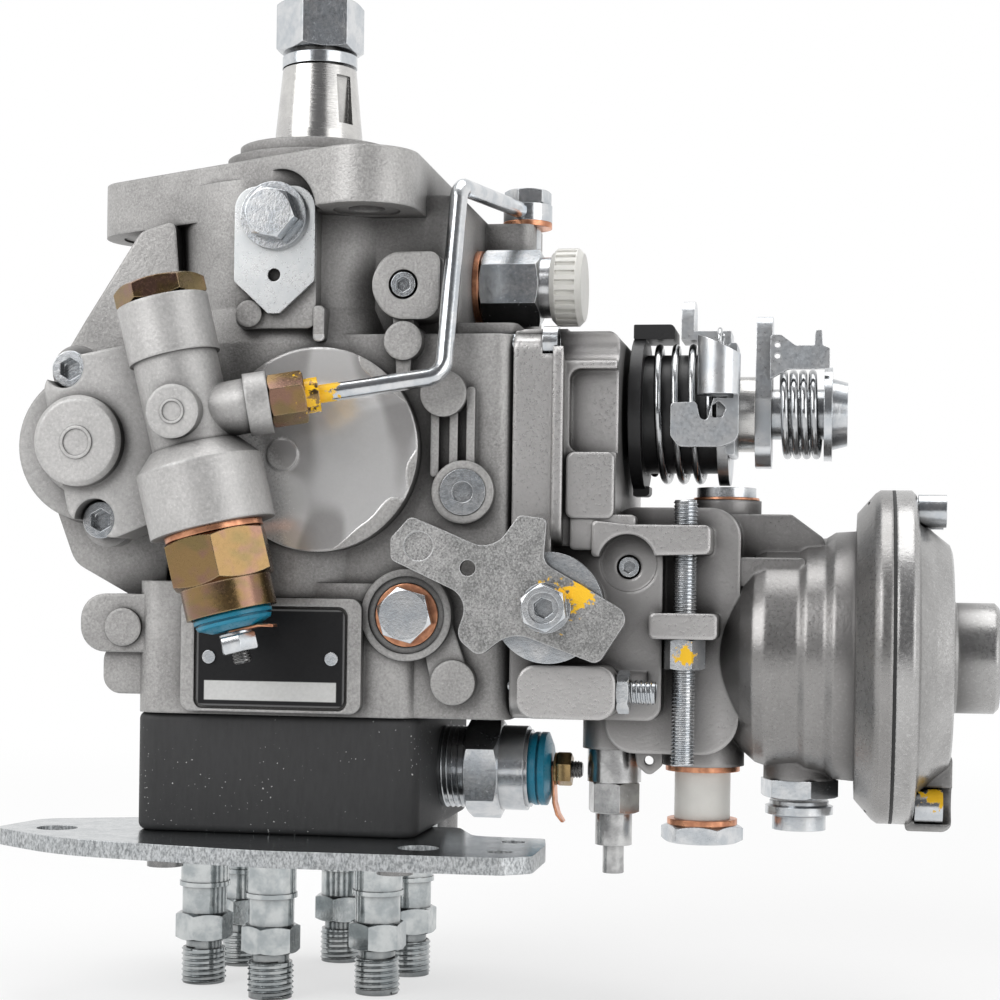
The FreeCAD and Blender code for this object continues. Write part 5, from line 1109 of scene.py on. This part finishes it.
@dataclass
class PlugRing(SubAssembly):
    """Soft ring squeezed out under the round plug above the governor cover."""

    seat: Seat = Seat((119.0, 0.0, -90.35), (0.0, 0.0, 1.0))
    profile: Sequence[Tuple[float, float]] = ((0.0, 8.4), (0.0, 9.1), (0.35, 9.3), (0.9, 9.1), (0.95, 8.35))

    def build(self) -> None:
        """Build the ring."""
        self.keep(Bench.stack(self.profile), self.seat.matrix(), "plug_ring", Shop.copper)


@dataclass
class Dresser:
    """Gives every CAD node its finish."""

    finishes: Dict[str, Finish] = field(default_factory=lambda: dict(NODE_FINISH))
    fallback: Finish = Shop.ground

    def dress(self) -> None:
        """Assign one material to each node of the frame."""
        for name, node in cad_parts.items():
            material = self.finishes.get(name, self.fallback).make()
            slots = node.material_slots
            if not slots:
                node.data.materials.append(material)
            for slot in slots:
                slot.material = material
            log.info("dressed %s in %s", name, material.name)


@dataclass(frozen=True)
class Lamp:
    """A square soft lamp: place and width in metres, power in watts."""

    name: str
    where: Point
    size: float
    power: float


@dataclass
class Studio:
    """Floor, lamps, world and camera; a pair named as a step is its level and its softness."""

    eye: Point = (0.1530, -0.5878, -0.1155)
    yaw: float = 9.5
    roll: float = 0.8
    lens: float = 75.17
    shift: Tuple[float, float] = (0.0012, 0.088)
    floor_z: float = -0.2292
    floor_reach: float = 6.0
    aim: Point = (0.06, 0.0, -0.09)
    lamps: Tuple[Lamp, ...] = (
        Lamp("Key", (-0.75, -0.95, 0.65), 1.10, 13.0),
        Lamp("Fill", (1.05, -0.70, 0.15), 0.90, 4.5),
        Lamp("Top", (0.10, 0.15, 1.15), 1.10, 9.0),
    )
    toward_camera: Colour = (0.14, 0.14, 0.145)
    overhead: Colour = (0.30, 0.30, 0.31)
    low_light: Colour = (0.15, 0.15, 0.155)
    high_light: Colour = (0.44, 0.44, 0.44)
    floor_colour: Colour = (0.92, 0.92, 0.92)
    behind_step: Tuple[float, float] = (-0.38, 0.55)
    overhead_step: Tuple[float, float] = (0.75, 0.5)
    light_step: Tuple[float, float] = (0.0, 1.8)
    floor_step: Tuple[float, float] = (0.55, 0.8)
    floor_glow: float = 0.65

    def build(self) -> None:
        """Set up everything that isn't the pump."""
        self._camera()
        self._floor()
        self._world()
        for lamp in self.lamps:
            self._light(lamp)
        scene = bpy.context.scene
        scene.view_settings.view_transform = "Standard"
        log.info("studio ready")

    def _camera(self) -> None:
        """Camera at the photograph's angle."""
        data = bpy.data.cameras.new("Camera")
        data.lens = self.lens
        data.sensor_width = 36.0
        data.shift_x, data.shift_y = self.shift
        data.clip_start, data.clip_end = 0.01, 50.0
        camera = bpy.data.objects.new("Camera", data)
        bpy.context.scene.collection.objects.link(camera)
        turn = (Matrix.Rotation(math.radians(self.yaw), 4, "Z") @ Matrix.Rotation(math.radians(90), 4, "X")
                @ Matrix.Rotation(math.radians(self.roll), 4, "Z"))
        camera.matrix_world = Matrix.Translation(self.eye) @ turn
        bpy.context.scene.camera = camera

    def _light(self, lamp: Lamp) -> None:
        """Hang one lamp so that it faces the pump.

        Args:
            lamp: The lamp to hang.
        """
        data = bpy.data.lights.new(lamp.name, "AREA")
        data.size, data.energy = lamp.size, lamp.power
        light = bpy.data.objects.new(lamp.name, data)
        bpy.context.scene.collection.objects.link(light)
        light.location = lamp.where
        light.rotation_euler = (Vector(self.aim) - Vector(lamp.where)).to_track_quat("-Z", "Y").to_euler()

    def _world(self) -> None:
        """White background for the camera, a graded one for metal, and soft light for the pump."""
        world = bpy.data.worlds.new("Studio")
        bpy.context.scene.world = world
        world.use_nodes = True
        desk = Desk(world.node_tree)
        _, ahead, above = desk.parts(desk.node("ShaderNodeTexCoord", {}, {}, "Generated"))
        direct, seen = desk.rays()
        shown = desk.mix(ahead.above(*self.behind_step), self.toward_camera, WHITE)
        shown = desk.mix(above.above(*self.overhead_step) * 0.5, shown, self.overhead)
        shown = desk.mix(direct, shown, WHITE)
        soft = desk.mix(above.above(*self.light_step), self.low_light, self.high_light)
        shader = desk.node("ShaderNodeBackground", {}, {"Color": desk.mix(seen, soft, shown), "Strength": 1.0})
        desk.node("ShaderNodeOutputWorld", {}, {"Surface": shader})

    def _floor(self) -> None:
        """Pale floor that fades into the background."""
        bpy.ops.object.select_all(action="DESELECT")
        bpy.ops.mesh.primitive_grid_add(x_subdivisions=4, y_subdivisions=4, size=self.floor_reach * 2,
                                        location=(self.aim[0], 0.0, self.floor_z))
        floor = bpy.context.active_object
        floor.name = "Floor"
        bpy.ops.object.transform_apply(location=True, rotation=True, scale=True)
        material = bpy.data.materials.new("Pale floor")
        material.use_nodes = True
        desk = Desk(material.node_tree)
        x, y, _ = desk.axes()
        along = x - self.aim[0]
        far = ((along * along + y * y) ** 0.5).above(*self.floor_step)
        seen = desk.rays()[1]
        lit = desk.node("ShaderNodeBsdfDiffuse", {}, {"Color": (*self.floor_colour, 1.0)})
        glow = desk.node("ShaderNodeEmission", {}, {"Color": (*WHITE, 1.0), "Strength": 1.0})
        share = seen * (far * (1.0 - self.floor_glow) + self.floor_glow)
        shader = desk.node("ShaderNodeMixShader", {}, {0: share, 1: lit, 2: glow})
        desk.node("ShaderNodeOutputMaterial", {}, {"Surface": shader})
        floor.data.materials.append(material)


def main() -> None:
    """Dress the frame, add the finer pieces and set up the studio."""
    logging.basicConfig(level=logging.INFO, format="%(message)s")
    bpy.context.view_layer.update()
    Dresser().dress()
    taper_thread = Thread("drive_thread", (0.0, 0.0, 29.2), Along.Z, radius=6.9, ridge=0.45, pitch=1.5,
                          length=17.0, steps=32, finish=Shop.ground)
    groups: List[SubAssembly] = [
        Threads(), ValveThreads(), Threads(body="drive", threads=(taper_thread,)), Terminal(), HousingSprings(),
        InnerSprings(), ThrottleWires(), PlugRing(),
        Terminal(name="stop_solenoid", seat=Seat((65.0, 0.0, -166.6), Along.X.value), tab_side=(0.10, 0.0, -0.995),
                 insulator=((0.0, 9.8), (1.2, 10.4), (2.2, 10.4), (2.2, 9.2), (2.9, 9.2), (2.9, 10.4),
                            (4.6, 10.4), (5.8, 7.5)), tab_length=10.5, tab_bend=((3.4, 0.8), (2.2, 1.4)),
                 nut_radius=4.9, nut_height=4.2, nut=Shop.brass),
    ]
    for group in groups:
        group.build()
    Studio().build()


if __name__ == "__main__":
    main()
